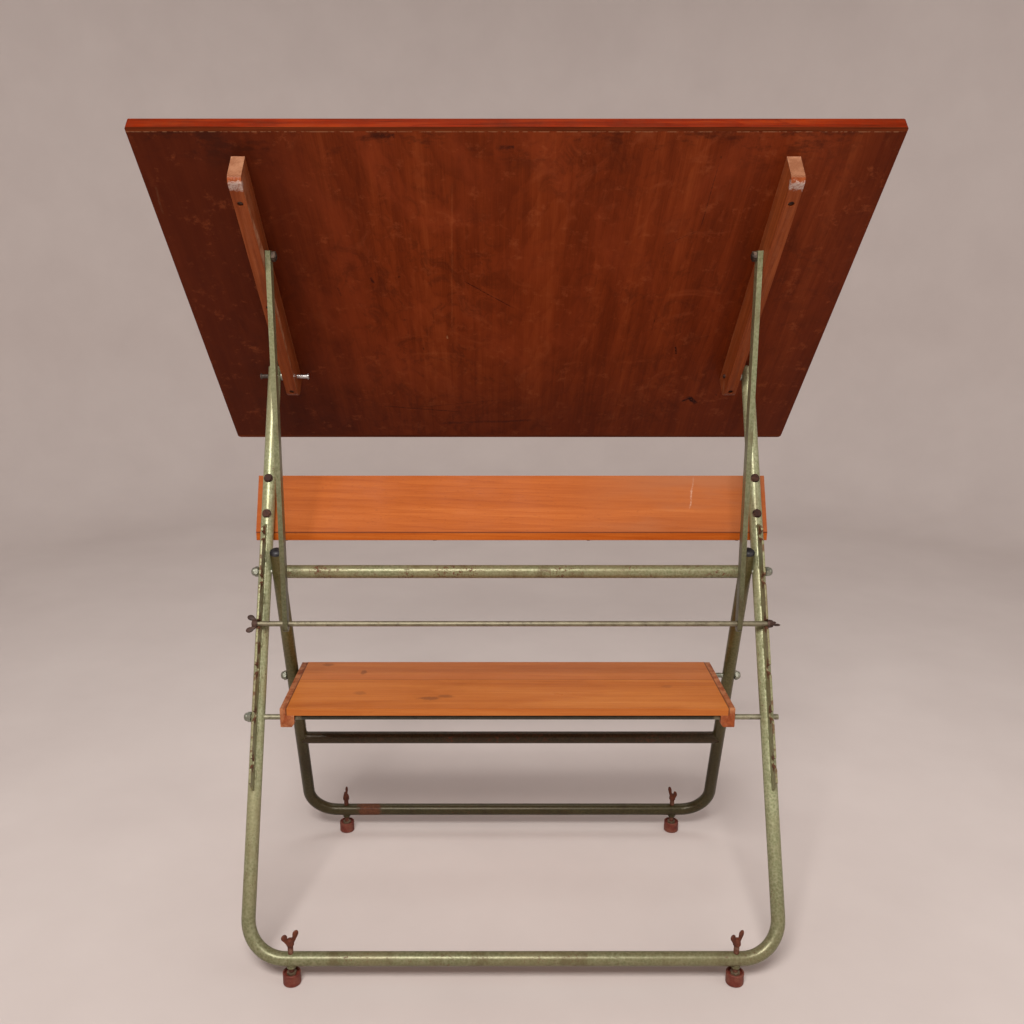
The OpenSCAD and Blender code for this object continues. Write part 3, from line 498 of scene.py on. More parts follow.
def tray_surface(g, col, p, q):
    """One whitish scrape near the right end of the tray board."""
    px, py, pz = g.split(p)
    bent = g.math("MULTIPLY", g.math("SUBTRACT", g.noise(g.obj, 30, 4, 0.65), 0.5), 0.016)
    line = g.math("ADD", g.math("SUBTRACT", px, g.math("ADD", g.math("MULTIPLY", g.math("SUBTRACT", pz, 0.191), 0.157), 0.3572)), bent)
    mask = g.math("MULTIPLY", g.step(g.math("ABSOLUTE", line), 0.0006, 0.0022, 1.0, 0.0), g.math("MULTIPLY", g.step(pz, 0.122, 0.135), g.step(pz, 0.1925, 0.188)))
    mask = g.math("MULTIPLY", g.math("MULTIPLY", mask, g.step(py, 0.021, 0.019)), g.step(g.noise(g.obj, 260, 3, 0.7), 0.36, 0.56, 0.2, 0.9))
    col = g.mix(mask, col, (0.56, 0.34, 0.24))
    haze = g.math("MULTIPLY", g.step(px, 0.02, 0.42, 0.0, 0.85), g.step(g.noise(g.mapping(p, (4, 9, 14)), 1, 4, 0.6), 0.36, 0.62, 0.35, 1.0))
    col = g.mix(haze, col, (0.33, 0.120, 0.052))
    # the ends have been rubbed darker where the legs and hands go
    ends = g.step(g.math("ABSOLUTE", px), 0.43, 0.50, 0.0, 0.35)
    col = g.mix(ends, col, (0.30, 0.062, 0.014))
    # the joint with the level board has filled with dirt
    seam = PIV + 0.078 * math.cos(LEANF) - 0.0125 * math.sin(LEANF) - 0.0005
    return g.mix(g.step(g.split(g.obj)[2], seam + 0.0010, seam + 0.0030, 0.80, 0.0), col, (0.085, 0.016, 0.005))


def shelf_surface(g, col, p, q):
    """Two boards glued edge to edge, a dark gap beside each rail, a few stains, and painted shade on the front face."""
    px, py, pz = g.split(p)
    back = g.step(py, 0.0035, 0.0045)
    # painted shade: the front face is darker than the top
    front_face_shade = g.step(g.vmath("DOT_PRODUCT", g.tc.outputs["Normal"], (0.0, -1.0, 0.0), out=1), 0.6, 0.9, 0.0, 0.30)
    col = g.mix(front_face_shade, col, (0.20, 0.045, 0.010))
    col = g.mix(g.math("MULTIPLY", back, 0.45), col, (0.44, 0.140, 0.052))
    joint = g.step(g.math("ABSOLUTE", g.math("SUBTRACT", py, 0.004)), 0.0003, 0.0012, 0.55, 0.0)
    gap = g.step(g.math("ABSOLUTE", g.math("SUBTRACT", g.math("ABSOLUTE", g.math("SUBTRACT", px, SHELF_DX)), 0.4075)), 0.0006, 0.0020, 0.85, 0.0)
    col = g.mix(g.math("MAXIMUM", joint, gap), col, (0.070, 0.020, 0.009))
    for (x, y, rx, ry, k) in SHELF_STAINS:
        e = g.math("ADD", g.math("POWER", g.math("DIVIDE", g.math("SUBTRACT", px, x), rx), 2.0), g.math("POWER", g.math("DIVIDE", g.math("SUBTRACT", py, y), ry), 2.0))
        e = g.math("ADD", e, g.math("MULTIPLY", g.math("SUBTRACT", g.noise(g.obj, 120, 4, 0.7), 0.5), 3.0))
        col = g.mix(g.step(e, 0.3, 1.5, k, 0.0), col, (0.17, 0.052, 0.018))
    return col


SHELF_STAINS = [(-0.155, -0.085, 0.020, 0.008, 0.6), (-0.125, -0.075, 0.016, 0.006, 0.55), (-0.295, 0.040, 0.006, 0.010, 0.6), (-0.372, 0.080, 0.012, 0.008, 0.5), (-0.290, -0.060, 0.012, 0.008, 0.35), (0.30, -0.03, 0.010, 0.006, 0.3)]
BOARD_MARKS = [
    (-0.0921, -0.2375, 0.0049, -0.163, 0.0013, (0.022, 0.006, 0.004), 0.95),
    (-0.2755, 0.1290, -0.1026, 0.1505, 0.0014, (0.020, 0.006, 0.004), 0.9),
    (-0.2350, 0.1400, -0.0006, 0.1060, 0.0009, (0.024, 0.007, 0.004), 0.75),
    (-0.1020, -0.4633, -0.1161, -0.0687, 0.0021, (0.30, 0.085, 0.026), 0.30),
    (0.3165, -0.3546, 0.3226, -0.4982, 0.0011, (0.026, 0.008, 0.005), 0.85),
    (0.2600, -0.3200, 0.3165, -0.3546, 0.0009, (0.026, 0.008, 0.005), 0.7),
    (0.3700, 0.0960, 0.3920, 0.1250, 0.0070, (0.006, 0.004, 0.004), 0.95),
    (0.3600, 0.1150, 0.3800, 0.0980, 0.0035, (0.006, 0.004, 0.004), 0.9),
    (0.3210, -0.0600, 0.3260, -0.0350, 0.0028, (0.010, 0.005, 0.004), 0.85),
    (-0.2570, -0.2430, -0.2520, -0.2270, 0.0034, (0.018, 0.006, 0.004), 0.9),
    (-0.3190, -0.2200, -0.3150, -0.1940, 0.0026, (0.020, 0.006, 0.004), 0.85),
    (-0.2300, -0.5460, -0.1820, -0.5440, 0.0075, (0.022, 0.006, 0.004), 0.85),
    (-0.0260, -0.5230, -0.0020, -0.5215, 0.0050, (0.026, 0.008, 0.005), 0.8),
    (-0.1600, 0.1900, 0.0600, 0.1800, 0.0050, (0.022, 0.007, 0.005), 0.55),
    (-0.1258, -0.0900, -0.1246, -0.0810, 0.0022, (0.42, 0.20, 0.09), 0.8),
    (-0.5841, -0.4493, -0.5888, -0.3872, 0.0022, (0.30, 0.14, 0.07), 0.6),
]
# the underside's colours are set darker than the wood's own tone: painted shade for the side turned down from the light
M["board_wood"] = wood("board_wood", -SLOPE, PIN[0], PIN[1], 1,
                       [(0.28, (0.105, 0.0160, 0.0036)), (0.44, (0.140, 0.0220, 0.0048)), (0.56, (0.180, 0.0300, 0.0064)), (0.72, (0.245, 0.0480, 0.0115))],
                       pith=(0.06, 0.16), tilt=0.22, ring=60, band=0.8, fibre=0.25, coat=0.02, rough=0.52, stains=0.34, ring_mix=0.5,
                       marks=BOARD_MARKS, seed=0.3, surface=board_surface, dark=(0.034, 0.0085, 0.0035), spec=0.035)
M["edge_wood"] = wood("edge_wood", -SLOPE, PIN[0], PIN[1], 0,
                      [(0.30, (0.080, 0.0070, 0.0010)), (0.48, (0.160, 0.0125, 0.0014)), (0.66, (0.30, 0.040, 0.0050))],
                      pith=(0.02, 0.05), tilt=0.03, ring=120, coat=0.0, rough=0.46, stains=0.45, seed=1.7, wear=(0.10, 0.03, 0.012), dark=(0.035, 0.008, 0.004), surface=edge_surface, spec=0.015)
M["rail_wood"] = wood("rail_wood", -SLOPE, PIN[0], PIN[1], 1,
                      [(0.30, (0.140, 0.026, 0.0060)), (0.48, (0.215, 0.046, 0.0110)), (0.66, (0.31, 0.082, 0.024))],
                      pith=(0.12, 0.04), tilt=0.04, ring=150, coat=0.02, rough=0.48, stains=0.26, seed=2.9, wear=(0.50, 0.26, 0.15), surface=rail_surface, spec=0.08)
M["tray_wood"] = wood("tray_wood", -LEANF, Y0, PIV, 0,
                      [(0.30, (0.295, 0.064, 0.0090)), (0.46, (0.36, 0.086, 0.0135)), (0.58, (0.41, 0.106, 0.0190)), (0.72, (0.47, 0.140, 0.032))],
                      pith=(0.02, 0.05), tilt=0.06, ring=70, band=0.75, fibre=0.35, coat=0.0, rough=0.46, stains=0.08, seed=0.9, speckle=0.28,
                      marks=[(0.3265, 0.0, 0.3395, 0.0, 0.0012, (0.80, 0.45, 0.25), 0.0)], dark=(0.20, 0.045, 0.012), ring_mix=0.6, surface=tray_surface, spec=0.05)
M["tray_shelf_wood"] = wood("tray_shelf_wood", 0.0, Y0, PIV, 0,
                            [(0.30, (0.28, 0.050, 0.0050)), (0.46, (0.36, 0.074, 0.0080)), (0.58, (0.42, 0.100, 0.0140)), (0.72, (0.48, 0.135, 0.026))],
                            pith=(0.04, 0.06), tilt=0.05, ring=80, band=0.7, fibre=0.4, coat=0.0, rough=0.46, stains=0.16, seed=7.1, speckle=0.2,
                            dark=(0.16, 0.034, 0.010), ring_mix=0.5, spec=0.05)
M["shelf_wood"] = wood("shelf_wood", 0.0, Y0, 0.45, 0,
                       [(0.30, (0.38, 0.098, 0.0150)), (0.46, (0.47, 0.138, 0.0250)), (0.58, (0.54, 0.180, 0.0370)), (0.72, (0.61, 0.225, 0.060))],
                       pith=(0.05, 0.07), tilt=0.05, ring=60, band=0.8, fibre=0.35, coat=0.05, rough=0.40, stains=0.14, seed=4.2, speckle=0.12,
                       dark=(0.18, 0.045, 0.014), ring_mix=0.4, spec=0.14, surface=shelf_surface)
M["shelf_rail_wood"] = wood("shelf_rail_wood", 0.0, Y0, 0.45, 1,
                            [(0.30, (0.13, 0.020, 0.0045)), (0.48, (0.205, 0.037, 0.0085)), (0.66, (0.29, 0.066, 0.017))],
                            pith=(0.1, 0.05), tilt=0.04, ring=120, coat=0.05, rough=0.46, stains=0.2, seed=5.5, wear=(0.50, 0.22, 0.10), spec=0.12)


# ---------------------------------------------------------------- mesh helpers
def make(name, bm, mat, body, frame_of=None, replaces=(), sharp=38):
    """Turns a bmesh, drawn in a frame of reference, into a piece that rides on a body."""
    if frame_of is not None:
        bm.transform(frame_of)
    bmesh.ops.recalc_face_normals(bm, faces=bm.faces)
    me = bpy.data.meshes.new(name)
    bm.to_mesh(me)
    bm.free()
    me.materials.append(M[mat])
    me.shade_smooth()
    me.set_sharp_from_angle(angle=rad(sharp))
    o = bpy.data.objects.new(name, me)
    bpy.context.scene.collection.objects.link(o)
    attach(o, body)
    if replaces:
        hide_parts(*replaces)
    return o


def lathe(bm, profile, seg=48, mat=Matrix.Identity(4), wobble=0.0, seed=0):
    """Turns (radius, height) points about local Z into a closed skin."""
    rng = np.random.default_rng(seed)
    rings = []
    for r, h in profile:
        if r < 1e-7:
            rings.append([bm.verts.new(mat @ Vector((0, 0, h)))])
        else:
            k = 1 + (rng.random(seg) - 0.5) * wobble
            rings.append([bm.verts.new(mat @ Vector((r * k[i] * math.cos(2 * math.pi * i / seg), r * k[i] * math.sin(2 * math.pi * i / seg), h))) for i in range(seg)])
    for a, b in zip(rings, rings[1:]):
        for i in range(seg):
            j = (i + 1) % seg
            if len(a) == 1 and len(b) == 1:
                continue
            if len(a) == 1:
                bm.faces.new((a[0], b[i], b[j]))
            elif len(b) == 1:
                bm.faces.new((a[i], a[j], b[0]))
            else:
                bm.faces.new((a[i], a[j], b[j], b[i]))
    for ring in (rings[0], rings[-1]):
        if len(ring) > 1:
            bm.faces.new(ring)
    return bm


def hex_head(bm, af, h, mat=Matrix.Identity(4), bore=0.0, top=True, bottom=False, seg=72):
    """Hexagon with its corners chamfered as a turned bar is, standing on local Z = 0."""
    rc = af / 2 * 0.955
    tan = math.tan(rad(30))

    def ring(fn):
        out = []
        for i in range(seg):
            a = 2 * math.pi * i / seg
            out.append(bm.verts.new(mat @ Vector(fn(a))))
        return out

    def hexr(a):
        d = (a % (math.pi / 3)) - math.pi / 6
        return af / 2 / math.cos(d)

    lows = ring(lambda a: (hexr(a) * math.cos(a), hexr(a) * math.sin(a), max(0, (hexr(a) - rc)) * tan if bottom else 0))
    highs = ring(lambda a: (hexr(a) * math.cos(a), hexr(a) * math.sin(a), h - (max(0, hexr(a) - rc) * tan if top else 0)))
    low_in = ring(lambda a: (rc * math.cos(a), rc * math.sin(a), 0))
    high_in = ring(lambda a: (rc * math.cos(a), rc * math.sin(a), h))
    loops = [low_in, lows, highs, high_in]
    if bore:
        loops = [ring(lambda a: (bore * math.cos(a), bore * math.sin(a), 0.0003)), ring(lambda a: ((bore + 0.0006) * math.cos(a), (bore + 0.0006) * math.sin(a), 0))] + loops
        loops += [ring(lambda a: ((bore + 0.0006) * math.cos(a), (bore + 0.0006) * math.sin(a), h)), ring(lambda a: (bore * math.cos(a), bore * math.sin(a), h - 0.0003))]
        loops.append(loops[0])
    for a, b in zip(loops, loops[1:]):
        for i in range(seg):
            j = (i + 1) % seg
            bm.faces.new((a[i], a[j], b[j], b[i]))
    if not bore:
        bm.faces.new(low_in)
        bm.faces.new(high_in)
    return bm


def thread(bm, r_out, r_in, pitch, length, mat=Matrix.Identity(4), seg=28):
    """A closed helical ridge along local Z, tapered out at both ends; its root is sunk in the shank."""
    turns = length / pitch - 1.0
    n = max(8, int(turns * seg))
    rows = []
    for k in range(n + 1):
        a = 2 * math.pi * k / seg
        zc = pitch * 0.5 + pitch * k / seg
        fade = min(1.0, k / (seg * 0.6), (n - k) / (seg * 0.6))
        ro = r_in - 0.0001 + (r_out - r_in + 0.0001) * fade
        hw = pitch * 0.44
        rows.append([bm.verts.new(mat @ Vector((r * math.cos(a), r * math.sin(a), zc + dz))) for r, dz in ((r_in - 0.0003, -hw), (ro, -pitch * 0.06), (ro, pitch * 0.06), (r_in - 0.0003, hw))])
    for a, b in zip(rows, rows[1:]):
        for i in range(4):
            j = (i + 1) % 4
            bm.faces.new((a[i], a[j], b[j], b[i]))
    bm.faces.new(rows[0])
    bm.faces.new(rows[-1])
    return bm


def weld(bm, points, normals, r=0.0022, step=0.0016, seed=0):
    """A rippled weld bead along a line of points, as overlapping flattened drops joined into one tube."""
    rng = np.random.default_rng(seed)
    pts = [Vector(p) for p in points]
    seg = 8
    rings = []
    for i, p in enumerate(pts):
        t = (pts[min(i + 1, len(pts) - 1)] - pts[max(i - 1, 0)]).normalized()
        n = Vector(normals[i]).normalized()
        s = t.cross(n).normalized()
        n = s.cross(t).normalized()
        end = min(1.0, (i + 0.35) / 2.5, (len(pts) - 1 - i + 0.35) / 2.5)
        rr = r * (0.86 + 0.22 * (0.5 + 0.5 * math.sin(i * 2.1)) + 0.12 * (rng.random() - 0.5)) * end
        rings.append([bm.verts.new(p + (s * math.cos(2 * math.pi * k / seg) + n * math.sin(2 * math.pi * k / seg)) * rr) for k in range(seg)])
    for a, b in zip(rings, rings[1:]):
        for k in range(seg):
            j = (k + 1) % seg
            bm.faces.new((a[k], a[j], b[j], b[k]))
    bm.faces.new(rings[0])
    bm.faces.new(rings[-1])
    return bm


def cast(o, voxel=0.00055, rounds=6, sub=0):
    """Melts overlapping closed shapes into one soft cast skin, and applies it."""
    m = o.modifiers.new("fuse", "REMESH")
    m.mode = "VOXEL"
    m.voxel_size = voxel
    m.use_smooth_shade = True
    s = o.modifiers.new("soften", "SMOOTH")
    s.iterations = rounds
    s.factor = 0.5
    dg = bpy.context.evaluated_depsgraph_get()
    new = bpy.data.meshes.new_from_object(o.evaluated_get(dg))
    o.modifiers.clear()
    mats = list(o.data.materials)
    o.data = new
    new.materials.clear()
    for x in mats:
        new.materials.append(x)
    new.shade_smooth()
    return o


X_OUT = Matrix.Rotation(rad(90), 4, "Y")  # local Z becomes +X


def along_x(x, y, z, sign=1, spin=0.0):
    """Local Z points along +X or -X from (x, y, z)."""
    return Matrix.Translation((x, y, z)) @ Matrix.Rotation(rad(90) * sign, 4, "Y") @ Matrix.Rotation(spin, 4, "Z")


# ---------------------------------------------------------------- CAD nodes that stay: edges eased, real materials
def keep(node, mat, ease=0.0, seg=2, angle=30):
    o = NODE[node]
    me = o.data
    me.materials.clear()
    me.materials.append(M[mat])
    if ease:
        if "custom_normal" in me.attributes:
            me.attributes.remove(me.attributes["custom_normal"])
        me.shade_smooth()
        w = o.modifiers.new("weld", "WELD")
        w.merge_threshold = 1e-6
        b = o.modifiers.new("ease", "BEVEL")
        b.width = ease
        b.segments = seg
        b.limit_method = "ANGLE"
        b.angle_limit = rad(angle)
        b.miter_outer = "MITER_ARC"
        n = o.modifiers.new("normals", "WEIGHTED_NORMAL")
        n.weight = 100
        n.keep_sharp = True
    return o


for node, mat, ease in (
    ("front_frame", "green_front", 0), ("rack_left", "green_rack", 0.0005), ("rack_right", "green_rack", 0.0005),
    ("front_foot_collars", "green_front", 0.0006), ("rear_frame", "green_rear", 0), ("rear_upper_crossbar", "green_bar", 0),
    ("rear_lower_crossbar", "green_in_shelf_shadow", 0), ("rear_foot_collars", "green_rear", 0.0006),
    ("tray_back", "tray_wood", 0.0012), ("tray_shelf", "tray_shelf_wood", 0.0012),
    ("shelf_plank", "shelf_wood", 0.0010), ("shelf_rail_left", "shelf_rail_wood", 0.0012), ("shelf_rail_right", "shelf_rail_wood", 0.0012),
    ("board_panel", "board_wood", 0.0006), ("board_edge_top", "edge_wood", 0.0012), ("board_edge_bottom", "edge_wood", 0.0012),
    ("board_rail_left", "rail_wood", 0.0020), ("board_rail_right", "rail_wood", 0.0020),
    ("strut_left", "green_strut", 0.0010), ("strut_right", "green_strut", 0.0010), ("strut_rod", "rod_steel", 0.0006),
    ("pivot_rod", "nut_steel", 0.0005), ("shelf_front_rod", "rod_front", 0.0008), ("shelf_rear_rod", "nut_steel", 0.0005),
    ("pin_spacers", "nut_steel", 0.0006), ("board_pin_left", "board_pin", 0.0006), ("board_pin_right", "rusty_fastener", 0.0006),
    ("strut_bolts", "dark_fastener", 0.0004), ("rear_leg_caps", "black_plug", 0.0004),
    ("pivot_dome_nuts", "nut_steel", 0), ("front_rod_nut", "nut_steel", 0), ("rear_rod_nuts", "nut_steel", 0),
    ("tray_bolts", "rusty_fastener", 0), ("tray_nuts", "rusty_fastener", 0), ("tray_screws", "rusty_fastener", 0),
    ("shelf_screws", "rusty_fastener", 0), ("rail_screws", "rusty_fastener", 0), ("strut_nuts", "nut_steel", 0),
    ("wing_nut_left", "rusty_dark_wing", 0), ("wing_nut_right", "rusty_dark_wing", 0),
    ("foot_screw_front_left", "rusty_wing", 0), ("foot_screw_front_right", "rusty_wing", 0),
    ("foot_screw_rear_left", "rusty_wing", 0), ("foot_screw_rear_right", "rusty_wing", 0),
    ("foot_cup_front_left", "foot_cup", 0), ("foot_cup_front_right", "foot_cup", 0),
    ("foot_cup_rear_left", "foot_cup", 0), ("foot_cup_rear_right", "foot_cup", 0),
):
    keep(node, mat, ease)


# ---------------------------------------------------------------- detailed pieces that ride on the CAD bodies
def cylinder(bm, r, z0, z1, mat=Matrix.Identity(4), seg=40, ease=0.0005):
    return lathe(bm, [(0, z0), (r - ease, z0), (r, z0 + ease), (r, z1 - ease), (r - ease, z1), (0, z1)], seg, mat)


def ellipsoid(bm, centre, radii, mat=Matrix.Identity(4), tilt=0.0):
    new = bmesh.ops.create_icosphere(bm, subdivisions=3, radius=1.0)["verts"]
    t = mat @ Matrix.Translation(centre) @ Matrix.Rotation(tilt, 4, "Y") @ Matrix.Diagonal((*radii, 1))
    bmesh.ops.transform(bm, matrix=t, verts=new)
    return bm


def blade(bm, outline, thick, mat=Matrix.Identity(4)):
    """A flat shape drawn in local x and z, thick along local y."""
    lo = [bm.verts.new(mat @ Vector((x, -thick / 2, z))) for x, z in outline]
    hi = [bm.verts.new(mat @ Vector((x, thick / 2, z))) for x, z in outline]
    n = len(outline)
    bm.faces.new(lo)
    bm.faces.new(hi[::-1])
    for a in range(n):
        b = (a + 1) % n
        bm.faces.new((lo[a], lo[b], hi[b], hi[a]))
    return bm


def wing_head(bm, mat, height, ear_x, ear_z, ear, hub_low, hub_top, flat=0.0021):
    """Hub with two raised ears, along local Z."""
    lathe(bm, [(0, 0), (hub_low * 0.96, 0), (hub_low, 0.0012), (hub_low * 0.93, height * 0.55), (hub_top, height * 0.92), (hub_top * 0.8, height), (0, height)], 40, mat)
    for s in (-1, 1):
        ellipsoid(bm, (s * ear_x, 0, ear_z), (ear[0], flat * 1.12, ear[1]), mat, s * 0.35)
        blade(bm, [(0.0, 0.0018), (s * hub_low * 0.9, 0.0018), (s * (ear_x + ear[0] * 0.80), ear_z - ear[1] * 0.35), (s * (ear_x + ear[0] * 0.35), ear_z + ear[1] * 0.55),
                   (s * (ear_x - ear[0] * 0.55), ear_z + ear[1] * 0.35), (s * hub_top * 0.8, height * 0.86), (0.0, height * 0.8)], flat * 1.55, mat)
    return bm


def dome_nut(bm, mat, af=0.017, h=0.007, total=0.014):
    hex_head(bm, af, h, mat, bottom=True)
    r = af / 2 * 0.93
    prof = [(0, h - 0.0004), (r, h - 0.0004), (r, h + 0.0012)]
    rise = total - h - 0.0012
    prof += [(r * math.cos(rad(90) * k / 9), h + 0.0012 + rise * math.sin(rad(90) * k / 9) ** 0.92) for k in range(1, 9)]
    return lathe(bm, prof + [(0, total)], 48, mat)


def slotted(bm, r, h, mat, turn=0.0, slot=0.0013, deep=0.0011, dome=0.0004):
    """Screw head, face towards +Z, with a driver slot."""
    m = mat @ Matrix.Rotation(turn, 4, "Z")
    lathe(bm, [(0, 0), (r * 0.6, 0), (r, h - deep - 0.0003), (r, h - deep), (0, h - deep)], 40, m)
    for s in (-1, 1):
        a0 = math.asin(slot / 2 / r)
        arc = [(r * math.cos(a0 + (math.pi - 2 * a0) * k / 18), s * r * math.sin(a0 + (math.pi - 2 * a0) * k / 18)) for k in range(19)]
        lo = [bm.verts.new(m @ Vector((x, y, h - deep - 0.0002))) for x, y in arc]
        mid = [bm.verts.new(m @ Vector((x, y, h - 0.0003))) for x, y in arc]
        hi = [bm.verts.new(m @ Vector((x * 0.93, s * slot / 2 + (y - s * slot / 2) * 0.93, h))) for x, y in arc]
        n = len(arc)
        for a, b in ((lo, mid), (mid, hi)):
            for q in range(n):
                w = (q + 1) % n
                bm.faces.new((a[q], a[w], b[w], b[q]))
        bm.faces.new(lo[::-1])
        bm.faces.new(hi)
    return bm


# domed nuts on the rod ends
bm = bmesh.new()
for s in (-1, 1):
    dome_nut(bm, along_x(s * (FX + TR), Y0, PIV, s, 0.35 if s < 0 else 0.1))
make("pivot_acorn_nuts", bm, "nut_steel", "stand_front", replaces=("pivot_dome_nuts",), sharp=26)
bm = bmesh.new()
dome_nut(bm, along_x(-FX - TR, RODF[0], RODF[1], -1, 0.2))
make("front_rod_acorn_nut", bm, "nut_steel", "stand_front", replaces=("front_rod_nut",), sharp=26)
bm = bmesh.new()
for s in (-1, 1):
    dome_nut(bm, along_x(s * (RX + TR), RODR[0], RODR[1], s, 0.5 * s), 0.017, 0.006, 0.0123)
make("rear_rod_acorn_nuts", bm, "nut_steel", "stand_rear", replaces=("rear_rod_nuts",), sharp=26)
bm = bmesh.new()
thread(bm, 0.0052, 0.0047, 0.0015, 0.0080, along_x(FX + TR + 0.0004, RODF[0], RODF[1], 1))
make("front_rod_thread", bm, "rod_steel", "stand_front", sharp=30)
bm = bmesh.new()
for s in (-1, 1):
    thread(bm, 0.0052, 0.0047, 0.0015, 0.0088, along_x(s * (STRUT_X - 0.0045 - 0.0092), BOLT[0], BOLT[1], s))
make("strut_bolt_threads", bm, "dark_fastener", "board", sharp=30)
bm = bmesh.new()
for s in (-1, 1):
    hex_head(bm, 0.016, 0.007, along_x(s * (STRUT_X - 0.0045 - 0.0005), BOLT[0], BOLT[1], -s, 0.3 * s), bore=0.005, bottom=True)
make("strut_hex_nuts", bm, "dark_fastener", "board", replaces=("strut_nuts",), sharp=26)

# bolts through the front legs that carry the tray
bm = bmesh.new()
for i, (s, z) in enumerate(((-1, 0.111), (-1, 0.181), (1, 0.111), (1, 0.181))):
    base = ON_FRONT @ Matrix.Translation((s * FX, -TR, z)) @ Matrix.Rotation(rad(90), 4, "X") @ Matrix.Rotation(0.4 * i, 4, "Z")
    lathe(bm, [(0.0, -0.0018), (0.0086, -0.0018), (0.0088, -0.0014), (0.0086, 0.0), (0.0, 0.0)], 40, base)
    hex_head(bm, 0.013, 0.0055, base)
    end = ON_FRONT @ Matrix.Translation((s * FX, -TR, z)) @ Matrix.Rotation(rad(-90), 4, "X")
    cylinder(bm, 0.00375, -0.001, TR * 2 + 0.015 + 0.0098, end)
    thread(bm, 0.0040, 0.0036, 0.00125, 0.0052, end @ Matrix.Translation((0, 0, TR * 2 + 0.015 + 0.0046)))
make("tray_hex_bolts", bm, "rusty_fastener", "stand_front", replaces=("tray_bolts",), sharp=26)
bm = bmesh.new()
for i, (s, z) in enumerate(((-1, 0.111), (-1, 0.181), (1, 0.111), (1, 0.181))):
    m = ON_FRONT @ Matrix.Translation((s * FX, TR + 0.015, z)) @ Matrix.Rotation(rad(-90), 4, "X") @ Matrix.Rotation(0.7 * i, 4, "Z")
    lathe(bm, [(0.0043, 0.0), (0.0085, 0.0), (0.0086, 0.0012), (0.0043, 0.0014)], 40, m)
    hex_head(bm, 0.013, 0.0060, m @ Matrix.Translation((0, 0, 0.0012)), bore=0.004, bottom=True)
make("tray_hex_nuts", bm, "rusty_fastener", "stand_front", replaces=("tray_nuts",), sharp=26)

# slotted screws
bm = bmesh.new()
for i, (s, y) in enumerate([(s, y) for s in (-1, 1) for y in (-0.456, -0.2215, 0.017)]):
    m = ON_BOARD @ Matrix.Translation((s * (RAIL_X - RAIL_T / 2), y, -RAIL_H / 2 + 0.006)) @ Matrix.Rotation(rad(180), 4, "X")
    slotted(bm, 0.0047, 0.0030, m, 0.9 * i + 0.3)
    cylinder(bm, 0.0025, -0.020, 0.0005, m)
make("rail_slotted_screws", bm, "rusty_fastener", "board", replaces=("rail_screws",), sharp=30)
bm = bmesh.new()
for i, (s, y) in enumerate([(s, y) for s in (-1, 1) for y in (-0.086, -0.016, 0.054)]):
    m = Matrix.Translation((SHELF_DX + s * 0.4025, Y0 + y, 0.448 - 0.0375)) @ Matrix.Rotation(rad(180), 4, "X")
    slotted(bm, 0.0038, 0.0016, m, 0.7 * i, 0.0011, 0.0009)
    cylinder(bm, 0.0020, -0.024, 0.0005, m)
make("shelf_slotted_screws", bm, "rusty_fastener", "shelf", replaces=("shelf_screws",), sharp=30)
TRAY_Z = PIV + 0.078 * math.cos(LEANF) - TR * math.sin(LEANF) - 0.0005
TRAY_Y = Y0 + 0.078 * math.sin(LEANF) + TR * math.cos(LEANF)
bm = bmesh.new()
for i, x in enumerate((-0.440, -0.150, 0.150, 0.440)):
    m = Matrix.Translation((x, TRAY_Y + 0.012, TRAY_Z - 0.015)) @ Matrix.Rotation(rad(180), 4, "X")
    slotted(bm, 0.0040, 0.0028, m, 1.1 * i + 0.4, 0.0011, 0.0010)
    cylinder(bm, 0.0020, -0.030, 0.0005, m)
make("tray_slotted_screws", bm, "rusty_fastener", "stand_front", replaces=("tray_screws",), sharp=30)

# wing nuts on the strut rod
for side, s, turn in (("left", -1, -42), ("right", 1, 80)):
    wn = FX + 0.002 + 0.0004
    m = Matrix.Translation((s * wn, ROD1[0], ROD1[1])) @ Matrix.Rotation(rad(turn), 4, "X") @ Matrix.Rotation(rad(90) * s, 4, "Y")
    bm = bmesh.new()
    wing_head(bm, m, 0.011, 0.0122, 0.0140, (0.0056, 0.0074), 0.0080, 0.0066, 0.0021)
    o = make("cast_wing_nut_" + side, bm, "rusty_dark_wing", "wing_nut_" + side + "_body", replaces=("wing_nut_" + side,))
    cast(o, 0.0005, 5)

